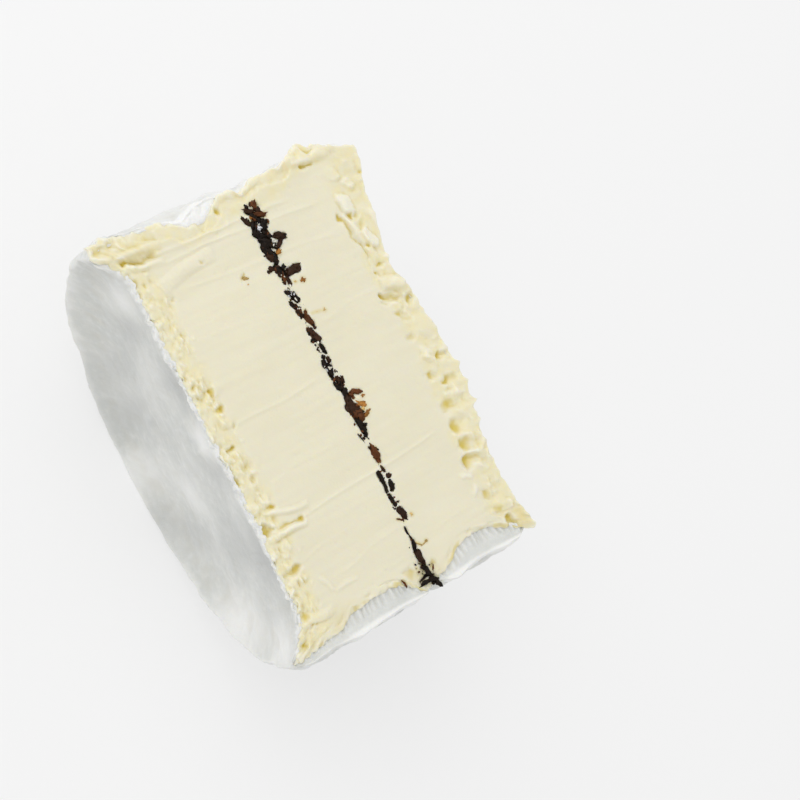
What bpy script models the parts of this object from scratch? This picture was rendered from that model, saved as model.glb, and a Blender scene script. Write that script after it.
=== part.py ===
"""Half of a small truffle triple-cream cheese: a wheel cut across, lying on its curved rind
with the cut face up, and the layer of chopped truffle that runs through it.

X runs along the truffle line of the cut face, Y along the wheel's axis and Z out of the
cut face. The origin is where the wheel rests, under its axis and halfway along it."""

import math
import random

import bmesh
import bpy
from mathutils import Matrix, Vector, noise

# The whole wheel
WHEEL_RADIUS = 0.0417
WHEEL_WIDTH = 0.0528
RIM_ROUNDING = 0.0034
WHEEL_STEPS = 128
ROUNDING_STEPS = 6

# Where the knife went, and how far the round side has sagged flat
CUT_OFFSET = 0.0128
REST_SAG = 0.0006
AXIS_HEIGHT = WHEEL_RADIUS - REST_SAG
CUT_HEIGHT = AXIS_HEIGHT + CUT_OFFSET
CUT_HALF_LENGTH = math.sqrt(WHEEL_RADIUS ** 2 - CUT_OFFSET ** 2)
HALF_WIDTH = WHEEL_WIDTH / 2

# The flat faces: how far each has sunk between its rims
NEAR_DISH = 0.0050
FAR_DISH = 0.0014
DISH_EDGE = 0.96
DISH_POWER = 10
FLAT_LUMPS = 0.0006
FLAT_LUMP_SIZE = 0.013
FLAT_PATTERN_GAP = 3.0
FLAT_START = 0.8

# The curved side, with the groove over the truffle layer
SIDE_LUMPS = 0.0009
SIDE_LUMP_SIZE = 0.010
SEAM_DEPTH = 0.0010
SEAM_WIDTH = 0.0020
SIDE_START = 0.75
REST_CALM = 0.012

# Roughness, frequency step and octaves of each pattern of lumps
SIDE_PATTERN = (0.8, 2.0, 3)
FLAT_PATTERN = (0.9, 2.0, 2)
SMEAR_PATTERN = (0.7, 2.0, 3)

# The torn edge of the cut: paste smeared outwards and up, pits between the lumps
RIM_DEPTH = 0.0030
SMEAR_REACH = 0.0055
SMEAR_HEIGHT = 0.0017
SMEAR_LUMP_SIZE = 0.0034
SCALLOP_SPACING = 0.0038
SCALLOP_DEPTH = 0.0008
FACE_WAVES = 0.00025
FACE_WAVE_SIZE = 0.022
FACE_WAVE_STRETCH = 0.6
FACE_WAVE_LAYER = 5.0
FLARE_START = 0.6

# Larger lobes of that edge: place along the edge, how far it stands out, and half width
START_LOBES = ((-0.022, 0.0012, 0.0040), (-0.0094, -0.0017, 0.0030), (0.017, 0.0029, 0.0045))
END_LOBES = ((-0.022, 0.0003, 0.004), (0.009, 0.0010, 0.003), (0.022, 0.0004, 0.003))
NEAR_LOBES = ((-0.034, -0.0005, 0.004), (-0.002, 0.0004, 0.006), (0.031, -0.0005, 0.004))
FAR_LOBES = ((-0.036, 0.0010, 0.004), (-0.018, -0.0008, 0.006), (0.007, 0.0021, 0.012),
             (0.037, 0.0008, 0.004))

# The rind that the knife rolled over at the +X end, and the stretches where it shows
LIP_WIDTH = 0.0046
LIP_DROP = 0.0013
LIP_STRETCHES = ((-0.0145, -0.0020), (0.0075, 0.0220))
LIP_FADE = 0.0012

# The truffle layer
LAYER_OFFSET = 0.0036
LAYER_BOW = 0.0013
LAYER_BOW_PLACE = 0.006
LAYER_BOW_WIDTH = 0.012
LAYER_RADIUS = WHEEL_RADIUS - 0.0026
SLOT_START_THICKNESS = 0.0029
SLOT_END_THICKNESS = 0.0017
GAP = 0.0003
LAYER_SINK = 0.0005
LAYER_CROSS_CUTS = 14
DISC_STEPS = 56
CLEARANCE = 0.006

# Truffle pieces at the cut: the large ones by hand (along the line, across it, radius),
# the small ones strewn
LARGE_PIECES = (
    (-0.0340, 0.0007, 0.0017),
    (-0.0305, -0.0002, 0.0018),
    (-0.0283, 0.0016, 0.0016),
    (-0.0240, 0.0006, 0.0015),
    (-0.0224, 0.0021, 0.0013),
    (0.0014, 0.0004, 0.0013),
    (0.0038, 0.0011, 0.0018),
    (0.0127, 0.0004, 0.0012),
    (0.0252, 0.0008, 0.0010),
    (0.0356, 0.0002, 0.0013),
)
LARGE_PIECE_ROUGHNESS = 0.25
POCKET_FACET_SHARE = 0.93
CRUMB_COUNT = 64
CRUMB_ROUGHNESS = 0.15
CRUMB_ROOM_SHARE = 0.9
CRUMB_PLACE_RANGE = (0.1, 0.9)
CRUMB_LARGEST = 0.00095
CRUMB_SMALLEST = 0.00045
CRUMB_STAND = 0.0002
SEED = 11

# Mesh sizes
VOXEL = 0.0009
CHEESE_TRIANGLES = 6800
SHARP_ANGLE = math.radians(40)
MERGE_DISTANCE = 0.00005
GROUND_SPREAD = 3

# Colour and roughness of each material, and how far a face points up where it is cut paste
PASTE = ((0.83, 0.77, 0.55), 0.50)
RIND = ((0.80, 0.79, 0.74), 0.90)
TRUFFLE = ((0.030, 0.022, 0.018), 0.70)
PASTE_FACING = 0.5


def smooth_step(low, high, value):
    share = min(max((value - low) / (high - low), 0.0), 1.0)
    return share * share * (3 - 2 * share)


def bell(centre, width, value):
    return math.exp(-(((value - centre) / width) ** 2))


def lobes(table, place):
    return sum(height * bell(centre, width, place) for centre, height, width in table)


def layer_middle(x):
    """How far the middle of the truffle layer lies from the wheel's middle plane."""
    return LAYER_OFFSET + LAYER_BOW * bell(LAYER_BOW_PLACE, LAYER_BOW_WIDTH, x)


def slot_thickness(x):
    share = (x + CUT_HALF_LENGTH) / (2 * CUT_HALF_LENGTH)
    return SLOT_START_THICKNESS + (SLOT_END_THICKNESS - SLOT_START_THICKNESS) * share


def lip_share(y):
    """1 in the stretches of the +X end where the rind is rolled over, and 0 elsewhere."""
    shares = []
    for low, high in LIP_STRETCHES:
        shares.append(smooth_step(low - LIP_FADE, low + LIP_FADE, y)
                      * (1 - smooth_step(high - LIP_FADE, high + LIP_FADE, y)))
    return max(shares)


def flat_face_shift(x, y, radius_share):
    """Inwards along Y: the sunken middle of the two flat faces."""
    side = abs(y) / HALF_WIDTH
    bowl = (1 - min(radius_share / DISH_EDGE, 1.0) ** DISH_POWER) * side * side
    return bowl * (NEAR_DISH if y < 0 else FAR_DISH)


def side_shift(point, radius_share):
    """Outwards from the axis: the lumps of the curved side and the groove over the truffle."""
    calm = smooth_step(0.0, REST_CALM, point.z)
    lump = noise.fractal(point / SIDE_LUMP_SIZE, *SIDE_PATTERN)
    groove = SEAM_DEPTH * bell(layer_middle(point.x), SEAM_WIDTH, point.y)
    return smooth_step(SIDE_START, 1.0, radius_share) * (calm * SIDE_LUMPS * lump - groove)


def edge_flare(x, y):
    """Outwards in the cut plane, at the foot of each of its four edges: (along X, along Y)."""
    scallop = SCALLOP_DEPTH * abs(math.sin(math.pi * x / SCALLOP_SPACING))
    if x < 0:
        along_x = -lobes(START_LOBES, y)
    else:
        along_x = lobes(END_LOBES, y)
    if y < 0:
        along_y = -lobes(NEAR_LOBES, x)
    else:
        along_y = lobes(FAR_LOBES, x) + scallop
    x_share = smooth_step(FLARE_START, 1.0, abs(x) / CUT_HALF_LENGTH)
    y_share = smooth_step(FLARE_START, 1.0, abs(y) / HALF_WIDTH)
    return along_x * x_share, along_y * y_share


def cut_face_lift(point):
    """Up from the cut plane: slow waves, the smeared border and the rolled rind."""
    x, y, z = point
    border = min(CUT_HALF_LENGTH - abs(x), HALF_WIDTH - abs(y))
    smear = 1 - smooth_step(0.0, SMEAR_REACH, border)
    lump = noise.fractal(Vector((x, y, 0.0)) / SMEAR_LUMP_SIZE, *SMEAR_PATTERN)
    wave_place = Vector((x, y * FACE_WAVE_STRETCH, FACE_WAVE_LAYER))
    waves = FACE_WAVES * noise.noise(wave_place / FACE_WAVE_SIZE)
    inner_edge = CUT_HALF_LENGTH - LIP_WIDTH
    lip = lip_share(y) * smooth_step(inner_edge - LIP_FADE, inner_edge + LIP_FADE, x)
    lift = waves + SMEAR_HEIGHT * smear * lump * (1 - lip)
    return lift - LIP_DROP * lip


def weathered(point):
    """Where a point of the plain half wheel lies on the real one."""
    x, y, z = point
    radius = math.hypot(x, z - AXIS_HEIGHT)
    share = radius / WHEEL_RADIUS
    outwards = Vector((x, 0.0, z - AXIS_HEIGHT)) / max(radius, VOXEL)
    moved = point + outwards * side_shift(point, share)
    moved.y -= math.copysign(flat_face_shift(x, y, share), y)
    own_pattern = Vector((0.0, math.copysign(FLAT_PATTERN_GAP, y), 0.0))
    rind_place = Vector((x, 0.0, z)) / FLAT_LUMP_SIZE + own_pattern
    rind_lump = noise.fractal(rind_place, *FLAT_PATTERN)
    moved.y += FLAT_LUMPS * rind_lump * smooth_step(FLAT_START, 1.0, abs(y) / HALF_WIDTH)
    near_cut = bell(0.0, RIM_DEPTH, CUT_HEIGHT - z)
    flare_x, flare_y = edge_flare(x, y)
    moved.x += flare_x * near_cut
    moved.y += flare_y * near_cut
    moved.z += cut_face_lift(point) * near_cut
    return moved


def clear_scene():
    for thing in list(bpy.data.objects):
        bpy.data.objects.remove(thing)


def new_collection(name):
    collection = bpy.data.collections.new(name)
    bpy.context.scene.collection.children.link(collection)
    return collection


def make_material(name, finish):
    color, roughness = finish
    material = bpy.data.materials.new(name)
    material.use_nodes = True
    shader = material.node_tree.nodes["Principled BSDF"]
    shader.inputs["Base Color"].default_value = (*color, 1.0)
    shader.inputs["Roughness"].default_value = roughness
    shader.inputs["Metallic"].default_value = 0.0
    material.diffuse_color = (*color, 1.0)
    return material


def object_from(name, shape, collection):
    """A new object from a bmesh, which is freed."""
    mesh = bpy.data.meshes.new(name)
    shape.to_mesh(mesh)
    shape.free()
    made = bpy.data.objects.new(name, mesh)
    collection.objects.link(made)
    return made


def apply_modifiers(made):
    graph = bpy.context.evaluated_depsgraph_get()
    mesh = bpy.data.meshes.new_from_object(made.evaluated_get(graph))
    made.modifiers.clear()
    made.data = mesh


def keep_outer_shell(made):
    """Fills the hollows that joining sealed and drops loose scraps: the largest shell stays."""
    shape = bmesh.new()
    shape.from_mesh(made.data)
    waiting = set(shape.verts)
    shells = []
    while waiting:
        shell = {waiting.pop()}
        edge_of_shell = list(shell)
        while edge_of_shell:
            vertex = edge_of_shell.pop()
            for edge in vertex.link_edges:
                other = edge.other_vert(vertex)
                if other not in shell:
                    shell.add(other)
                    edge_of_shell.append(other)
        waiting -= shell
        shells.append(shell)
    shells.sort(key=len)
    for shell in shells[:-1]:
        bmesh.ops.delete(shape, geom=list(shell), context="VERTS")
    shape.to_mesh(made.data)
    shape.free()


def mark_as_cutter(cutter):
    cutter.hide_render = True
    cutter.display_type = "WIRE"


def turned_wheel(collection):
    """The plain wheel, turned about Y, with rounded rims."""
    profile = [(0.0, -HALF_WIDTH)]
    for side, start in ((-1, -90), (1, 0)):
        for step in range(ROUNDING_STEPS + 1):
            angle = math.radians(start + 90 * step / ROUNDING_STEPS)
            along = side * (HALF_WIDTH - RIM_ROUNDING) + RIM_ROUNDING * math.sin(angle)
            profile.append((WHEEL_RADIUS - RIM_ROUNDING + RIM_ROUNDING * math.cos(angle), along))
    profile.append((0.0, HALF_WIDTH))
    shape = bmesh.new()
    points = [shape.verts.new((radius, along, 0.0)) for radius, along in profile]
    for first, second in zip(points, points[1:]):
        shape.edges.new((first, second))
    wheel = object_from("cheese", shape, collection)
    turn = wheel.modifiers.new("turn", "SCREW")
    turn.axis = "Y"
    turn.steps = WHEEL_STEPS
    turn.render_steps = WHEEL_STEPS
    turn.use_merge_vertices = True
    turn.merge_threshold = MERGE_DISTANCE
    apply_modifiers(wheel)
    return wheel


def cut_across(wheel):
    """Takes away what the knife did, closes the cut and gives the whole skin an even mesh."""
    shape = bmesh.new()
    shape.from_mesh(wheel.data)
    bmesh.ops.translate(shape, vec=(0.0, 0.0, AXIS_HEIGHT), verts=shape.verts)
    bmesh.ops.recalc_face_normals(shape, faces=shape.faces)
    everything = shape.verts[:] + shape.edges[:] + shape.faces[:]
    bmesh.ops.bisect_plane(shape, geom=everything, plane_co=(0.0, 0.0, CUT_HEIGHT),
                           plane_no=(0.0, 0.0, 1.0), clear_outer=True)
    open_edges = [edge for edge in shape.edges if edge.is_boundary]
    bmesh.ops.holes_fill(shape, edges=open_edges)
    shape.to_mesh(wheel.data)
    shape.free()
    remesh = wheel.modifiers.new("even", "REMESH")
    remesh.mode = "VOXEL"
    remesh.voxel_size = VOXEL
    apply_modifiers(wheel)


def is_paste(centre, normal):
    """Whether a face of the wheel is cut paste, and not rind."""
    in_lip = lip_share(centre.y) > 0.5 and centre.x > CUT_HALF_LENGTH - LIP_WIDTH
    return normal.z > PASTE_FACING and centre.z > CUT_HEIGHT - RIM_DEPTH and not in_lip


def weather(wheel, paste, rind):
    """Gives the plain half wheel its sags, lumps and torn edge, and its two materials."""
    for vertex in wheel.data.vertices:
        vertex.co = weathered(vertex.co.copy())
    wheel.data.materials.clear()
    wheel.data.materials.append(paste)
    wheel.data.materials.append(rind)
    for face in wheel.data.polygons:
        face.material_index = 0 if is_paste(face.center, face.normal) else 1
    thin = wheel.modifiers.new("thin out", "DECIMATE")
    thin.ratio = CHEESE_TRIANGLES / (2 * len(wheel.data.polygons))
    thin.use_collapse_triangulate = True
    apply_modifiers(wheel)


def layer_slab(name, inset, top, collection):
    """A part of a disc across the wheel, as thick as the slot less the inset on each side."""
    shape = bmesh.new()
    turn = Matrix.Translation((0.0, 0.0, AXIS_HEIGHT)) @ Matrix.Rotation(math.pi / 2, 4, "X")
    bmesh.ops.create_circle(shape, cap_ends=True, segments=DISC_STEPS,
                            radius=LAYER_RADIUS - inset, matrix=turn)
    bmesh.ops.bisect_plane(shape, geom=shape.verts[:] + shape.edges[:] + shape.faces[:],
                           plane_co=(0.0, 0.0, top), plane_no=(0.0, 0.0, 1.0), clear_outer=True)
    for step in range(1, LAYER_CROSS_CUTS):
        place = CUT_HALF_LENGTH * (2 * step / LAYER_CROSS_CUTS - 1)
        bmesh.ops.bisect_plane(shape, geom=shape.verts[:] + shape.edges[:] + shape.faces[:],
                               plane_co=(place, 0.0, 0.0), plane_no=(1.0, 0.0, 0.0))
    grown = bmesh.ops.extrude_face_region(shape, geom=shape.faces[:])
    far_side = {item for item in grown["geom"] if isinstance(item, bmesh.types.BMVert)}
    for vertex in shape.verts:
        side = 1 if vertex in far_side else -1
        half = slot_thickness(vertex.co.x) / 2 - inset
        vertex.co.y = layer_middle(vertex.co.x) + side * half
    bmesh.ops.recalc_face_normals(shape, faces=shape.faces)
    return object_from(name, shape, collection)


def add_pebble(name, centre, radius, subdivisions, roughness, draw, collection):
    """One rough, slightly flattened crumb, no wider than its radius."""
    shape = bmesh.new()
    bmesh.ops.create_icosphere(shape, subdivisions=subdivisions, radius=radius)
    spin = Matrix.Rotation(draw.uniform(0, math.tau), 4, Vector((1, 1, draw.uniform(-1, 1))))
    for vertex in shape.verts:
        vertex.co = centre + spin @ vertex.co * (1 - draw.uniform(0, roughness))
    return object_from(name, shape, collection)


def piece_centre(along, across):
    return Vector((along, layer_middle(along) + across, CUT_HEIGHT - LAYER_SINK))


def make_cutters(collection):
    """The slot for the truffle, a pocket for each large piece, and the ground's flat."""
    mark_as_cutter(layer_slab("slot_cutter", 0.0, CUT_HEIGHT + CLEARANCE, collection))
    for number, (along, across, radius) in enumerate(LARGE_PIECES):
        shape = bmesh.new()
        bmesh.ops.create_icosphere(shape, subdivisions=2,
                                   radius=(radius + GAP) / POCKET_FACET_SHARE)
        bmesh.ops.translate(shape, vec=piece_centre(along, across), verts=shape.verts)
        mark_as_cutter(object_from(f"pocket_cutter_{number}", shape, collection))
    shape = bmesh.new()
    size = Vector((GROUND_SPREAD * WHEEL_RADIUS, GROUND_SPREAD * WHEEL_WIDTH, CLEARANCE))
    place = Matrix.Translation((0.0, 0.0, -CLEARANCE / 2)) @ Matrix.Diagonal((*size, 1.0))
    bmesh.ops.create_cube(shape, size=1.0, matrix=place)
    mark_as_cutter(object_from("ground_cutter", shape, collection))


def make_cheese(collection, cutters):
    paste = make_material("paste", PASTE)
    rind = make_material("rind", RIND)
    cheese = turned_wheel(collection)
    cut_across(cheese)
    weather(cheese, paste, rind)
    carve = cheese.modifiers.new("carve", "BOOLEAN")
    carve.operation = "DIFFERENCE"
    carve.operand_type = "COLLECTION"
    carve.collection = cutters
    carve.solver = "EXACT"
    apply_modifiers(cheese)
    cheese.data.shade_smooth()
    cheese.data.set_sharp_from_angle(angle=SHARP_ANGLE)


def make_truffle_layer(collection):
    """The slab of chopped truffle, with the pieces that stand at the cut joined to it."""
    draw = random.Random(SEED)
    layer = layer_slab("truffle_layer", GAP, CUT_HEIGHT - LAYER_SINK, collection)
    crumbs = new_collection("truffle crumbs")
    for number, (along, across, radius) in enumerate(LARGE_PIECES):
        add_pebble(f"piece_{number}", piece_centre(along, across), radius, 2,
                   LARGE_PIECE_ROUGHNESS, draw, crumbs)
    reach = math.sqrt(LAYER_RADIUS ** 2 - CUT_OFFSET ** 2) - CRUMB_LARGEST - GAP
    for number in range(CRUMB_COUNT):
        along = reach * (2 * (number + draw.uniform(*CRUMB_PLACE_RANGE)) / CRUMB_COUNT - 1)
        room = slot_thickness(along) / 2 - GAP
        radius = min(draw.uniform(CRUMB_SMALLEST, CRUMB_LARGEST), CRUMB_ROOM_SHARE * room)
        across = draw.uniform(-1, 1) * (room - radius)
        centre = piece_centre(along, across) + Vector((0.0, 0.0, CRUMB_STAND))
        add_pebble(f"crumb_{number}", centre, radius, 1, CRUMB_ROUGHNESS, draw, crumbs)
    join = layer.modifiers.new("join", "BOOLEAN")
    join.operation = "UNION"
    join.operand_type = "COLLECTION"
    join.collection = crumbs
    join.solver = "EXACT"
    apply_modifiers(layer)
    keep_outer_shell(layer)
    for crumb in list(crumbs.objects):
        bpy.data.objects.remove(crumb)
    bpy.data.collections.remove(crumbs)
    layer.data.materials.clear()
    layer.data.materials.append(make_material("truffle", TRUFFLE))
    layer.data.shade_smooth()
    layer.data.set_sharp_from_angle(angle=SHARP_ANGLE)


def main():
    clear_scene()
    part = new_collection("half truffle cheese")
    cutters = new_collection("cutters")
    make_cutters(cutters)
    make_cheese(part, cutters)
    make_truffle_layer(part)


main()
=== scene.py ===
"""The looks of a half truffle triple-cream cheese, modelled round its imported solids.

X runs along the truffle line of the cut face, Y along the wheel's axis and Z out of the cut
face. Lengths are in metres. Run as a script it builds every piece, the floor, the light and
the camera."""

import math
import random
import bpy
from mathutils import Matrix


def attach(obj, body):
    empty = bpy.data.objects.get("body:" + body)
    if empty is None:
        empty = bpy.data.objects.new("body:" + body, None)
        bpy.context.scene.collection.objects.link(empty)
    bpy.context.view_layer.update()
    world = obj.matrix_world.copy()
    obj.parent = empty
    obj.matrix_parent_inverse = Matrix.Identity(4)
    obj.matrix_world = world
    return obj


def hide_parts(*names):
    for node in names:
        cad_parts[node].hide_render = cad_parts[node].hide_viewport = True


bl_info = {
    "name": "Half Truffle Cheese",
    "version": (1, 0, 0),
    "blender": (4, 5, 0),
    "location": "View3D > Sidebar > Cheese",
    "description": "Models the rind, paste and truffle of a cut triple-cream cheese",
    "category": "Add Mesh",
}

import bmesh
import bpy
import numpy as np
from bpy.props import FloatProperty, FloatVectorProperty, IntProperty, PointerProperty
from bpy.types import Operator, Panel, PropertyGroup
from mathutils import Matrix, Vector, noise

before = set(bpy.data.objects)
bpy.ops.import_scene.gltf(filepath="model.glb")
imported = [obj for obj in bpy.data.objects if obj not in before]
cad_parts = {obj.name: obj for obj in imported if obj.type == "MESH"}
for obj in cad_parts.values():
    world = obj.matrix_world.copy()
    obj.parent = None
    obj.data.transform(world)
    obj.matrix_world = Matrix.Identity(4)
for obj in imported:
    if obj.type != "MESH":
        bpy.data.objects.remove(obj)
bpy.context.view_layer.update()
BODY = "root"

# The whole wheel, the knife's cut and the flat it rests on
WHEEL_RADIUS = 0.0417
WHEEL_WIDTH = 0.0528
RIM_ROUNDING = 0.0034
TURN_STEPS = 160
MERGE_DISTANCE = 0.00001
CUT_OFFSET = 0.0128
REST_SAG = 0.0006
AXIS_HEIGHT = WHEEL_RADIUS - REST_SAG
CUT_HEIGHT = AXIS_HEIGHT + CUT_OFFSET
CUT_HALF_LENGTH = math.sqrt(WHEEL_RADIUS ** 2 - CUT_OFFSET ** 2)
HALF_WIDTH = WHEEL_WIDTH / 2
MM = 0.001

# Sunken flat faces and the lumps of the rind
NEAR_DISH = 0.0050
FAR_DISH = 0.0014
DISH_EDGE = 0.96
DISH_POWER = 10
FLAT_LUMPS = 0.0006
FLAT_LUMP_SIZE = 0.013
FLAT_PATTERN_GAP = 3.0
SIDE_LUMPS = 0.0009
SIDE_LUMP_SIZE = 0.010
SEAM_DEPTH = 0.0010
SEAM_WIDTH = 0.0020
REST_CALM = 0.012

# Lobes of the torn edge: place along the edge, how far it stands out, and half width
RIM_DEPTH = 0.0030
START_LOBES = ((-0.022, 0.0012, 0.0040), (-0.0094, -0.0017, 0.0030), (0.017, 0.0029, 0.0045))
END_LOBES = ((-0.022, 0.0003, 0.004), (0.009, 0.0010, 0.003), (0.022, 0.0004, 0.003))
NEAR_LOBES = ((-0.034, -0.0005, 0.004), (-0.002, 0.0004, 0.006), (0.031, -0.0005, 0.004))
FAR_LOBES = ((-0.036, 0.0010, 0.004), (-0.0175, -0.0018, 0.0055), (0.007, 0.0021, 0.012),
             (0.037, 0.0008, 0.004))
FACE_WAVES = 0.00025
FACE_WAVE_SIZE = 0.022

# The truffle layer
LAYER_OFFSET = 0.0036
LAYER_BOW = 0.0013
LAYER_BOW_PLACE = 0.006
LAYER_BOW_WIDTH = 0.012
LAYER_RADIUS = WHEEL_RADIUS - 0.0026
SLOT_START_THICKNESS = 0.0029
SLOT_END_THICKNESS = 0.0017


def smooth_step(low, high, value):
    share = min(max((value - low) / (high - low), 0.0), 1.0)
    return share * share * (3 - 2 * share)


def bell(centre, width, value):
    return math.exp(-(((value - centre) / width) ** 2))


def lobes(table, place, rule=bell):
    """How far the lobes of a table stand out at a place, or at every place of an array."""
    return sum(height * rule(centre, width, place) for centre, height, width in table)


def layer_middle(x):
    """How far the middle of the truffle layer lies from the wheel's middle plane."""
    return LAYER_OFFSET + LAYER_BOW * bell(LAYER_BOW_PLACE, LAYER_BOW_WIDTH, x)


def slot_thickness(x):
    share = (x + CUT_HALF_LENGTH) / (2 * CUT_HALF_LENGTH)
    return SLOT_START_THICKNESS + (SLOT_END_THICKNESS - SLOT_START_THICKNESS) * share


def weathered(point):
    """Where a point of the plain half wheel lies on the real, sagging one."""
    x, y, z = point
    radius = math.hypot(x, z - AXIS_HEIGHT)
    share = radius / WHEEL_RADIUS
    outwards = Vector((x, 0.0, z - AXIS_HEIGHT)) / max(radius, MM)
    calm = smooth_step(0.0, REST_CALM, z)
    lump = noise.fractal(point / SIDE_LUMP_SIZE, 0.8, 2.0, 3)
    groove = SEAM_DEPTH * bell(layer_middle(x), SEAM_WIDTH, y)
    moved = point + outwards * smooth_step(0.75, 1.0, share) * (calm * SIDE_LUMPS * lump - groove)
    side = abs(y) / HALF_WIDTH
    bowl = (1 - min(share / DISH_EDGE, 1.0) ** DISH_POWER) * side * side
    moved.y -= math.copysign(bowl * (NEAR_DISH if y < 0 else FAR_DISH), y)
    own_pattern = Vector((0.0, math.copysign(FLAT_PATTERN_GAP, y), 0.0))
    rind_lump = noise.fractal(Vector((x, 0.0, z)) / FLAT_LUMP_SIZE + own_pattern, 0.9, 2.0, 2)
    moved.y += FLAT_LUMPS * rind_lump * smooth_step(0.8, 1.0, side)
    near_cut = bell(0.0, RIM_DEPTH, CUT_HEIGHT - z)
    flare_x, flare_y = edge_flare(x, y)
    moved.x += flare_x * near_cut
    moved.y += flare_y * near_cut
    moved.z += FACE_WAVES * noise.noise(Vector((x, y * 0.6, 5.0)) / FACE_WAVE_SIZE) * near_cut
    return moved


def edge_flare(x, y):
    """Outwards in the cut plane, at the foot of each of its four edges: (along X, along Y)."""
    along_x = -lobes(START_LOBES, y) if x < 0 else lobes(END_LOBES, y)
    along_y = -lobes(NEAR_LOBES, x) if y < 0 else lobes(FAR_LOBES, x)
    x_share = smooth_step(0.6, 1.0, abs(x) / CUT_HALF_LENGTH)
    y_share = smooth_step(0.6, 1.0, abs(y) / HALF_WIDTH)
    return along_x * x_share, along_y * y_share


def ease(low, high, values):
    """The smooth step of a whole array."""
    share = np.clip((values - low) / (high - low), 0.0, 1.0)
    return share * share * (3 - 2 * share)


def hump(centre, width, values):
    """The bell of a whole array."""
    return np.exp(-(((values - centre) / width) ** 2))


def plane_noise(x, y, size, octaves=1, layer=0.0):
    """Noise at each point of the cut plane, from about -1 to 1."""
    places = np.column_stack((x / size, y / size)).tolist()
    return np.array([noise.fractal((across, along, layer), 0.9, 2.0, octaves)
                     for across, along in places])


def bent_places(x, y, bends):
    """The same places pushed about, so that what is drawn there has torn outlines."""
    for amount, size, layer in bends:
        shift_x = amount * plane_noise(x, y, size, 2, layer)
        shift_y = amount * plane_noise(x, y, size, 2, layer + 1)
        x, y = x + shift_x, y + shift_y
    return x, y


def object_from(name, shape):
    """A new object from a bmesh, which is freed."""
    mesh = bpy.data.meshes.new(name)
    shape.to_mesh(mesh)
    shape.free()
    made = bpy.data.objects.new(name, mesh)
    bpy.context.scene.collection.objects.link(made)
    return made


def apply_modifiers(made):
    graph = bpy.context.evaluated_depsgraph_get()
    mesh = bpy.data.meshes.new_from_object(made.evaluated_get(graph))
    made.modifiers.clear()
    made.data = mesh


def remeshed(made, voxel):
    """Joins whatever the object holds into one even skin."""
    remesh = made.modifiers.new("even", "REMESH")
    remesh.mode = "VOXEL"
    remesh.voxel_size = voxel
    apply_modifiers(made)


def refine(shape, wanted):
    """Splits the faces whose centre is wanted into four."""
    edges = {edge for face in shape.faces if wanted(face.calc_center_median())
             for edge in face.edges}
    bmesh.ops.subdivide_edges(shape, edges=list(edges), cuts=1, use_grid_fill=True)


def read_rows(items, name="co"):
    """The places or normals of a mesh's points, as rows of three."""
    values = np.empty(len(items) * 3, np.float32)
    items.foreach_get(name, values)
    return values.reshape(-1, 3)


def write_places(mesh, places):
    mesh.vertices.foreach_set("co", np.array(places, np.float32).ravel())
    mesh.update()


def store(mesh, name, values):
    """Keeps a number for each point, for the materials to read."""
    attribute = mesh.attributes.new(name, "FLOAT", "POINT")
    attribute.data.foreach_set("value", np.array(values, np.float32))


def move_points(mesh, rule):
    """Moves every vertex to where the rule puts it, by its place and its normal."""
    rows = zip(read_rows(mesh.vertices).tolist(),
               read_rows(mesh.vertex_normals, "vector").tolist())
    write_places(mesh, [rule(Vector(place), Vector(normal)) for place, normal in rows])


def smoothed_points(mesh, rounds):
    """The mesh's points, and the same points after some rounds of averaging with neighbours."""
    count = len(mesh.vertices)
    points = read_rows(mesh.vertices).astype(np.float64)
    edges = np.empty(len(mesh.edges) * 2, np.int32)
    mesh.edges.foreach_get("vertices", edges)
    first, second = edges.reshape(-1, 2).T
    neighbours = np.bincount(first, minlength=count) + np.bincount(second, minlength=count)
    neighbours = np.maximum(neighbours, 1)[:, None]
    soft = points.copy()
    for _ in range(rounds):
        total = np.zeros_like(soft)
        for axis in range(3):
            total[:, axis] = (np.bincount(first, soft[second, axis], count)
                              + np.bincount(second, soft[first, axis], count))
        soft = 0.5 * soft + 0.5 * total / neighbours
    return points, soft


def soften(mesh, rounds):
    write_places(mesh, smoothed_points(mesh, rounds)[1])


def mark_hollows(mesh, rounds, depth):
    """Stores how far each point lies under the smoothed skin, 1 at the given depth."""
    points, soft = smoothed_points(mesh, rounds)
    normals = read_rows(mesh.vertex_normals, "vector")
    store(mesh, "hollow", ((soft - points) * normals).sum(axis=1) / depth)


def dress(made, material, node=None):
    """Gives a finished piece its material and its place in the body, and hides the solid it stands
    for.
    """
    made.data.materials.clear()
    made.data.materials.append(material)
    made.data.shade_smooth()
    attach(made, BODY)
    if node:
        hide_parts(node)


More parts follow.
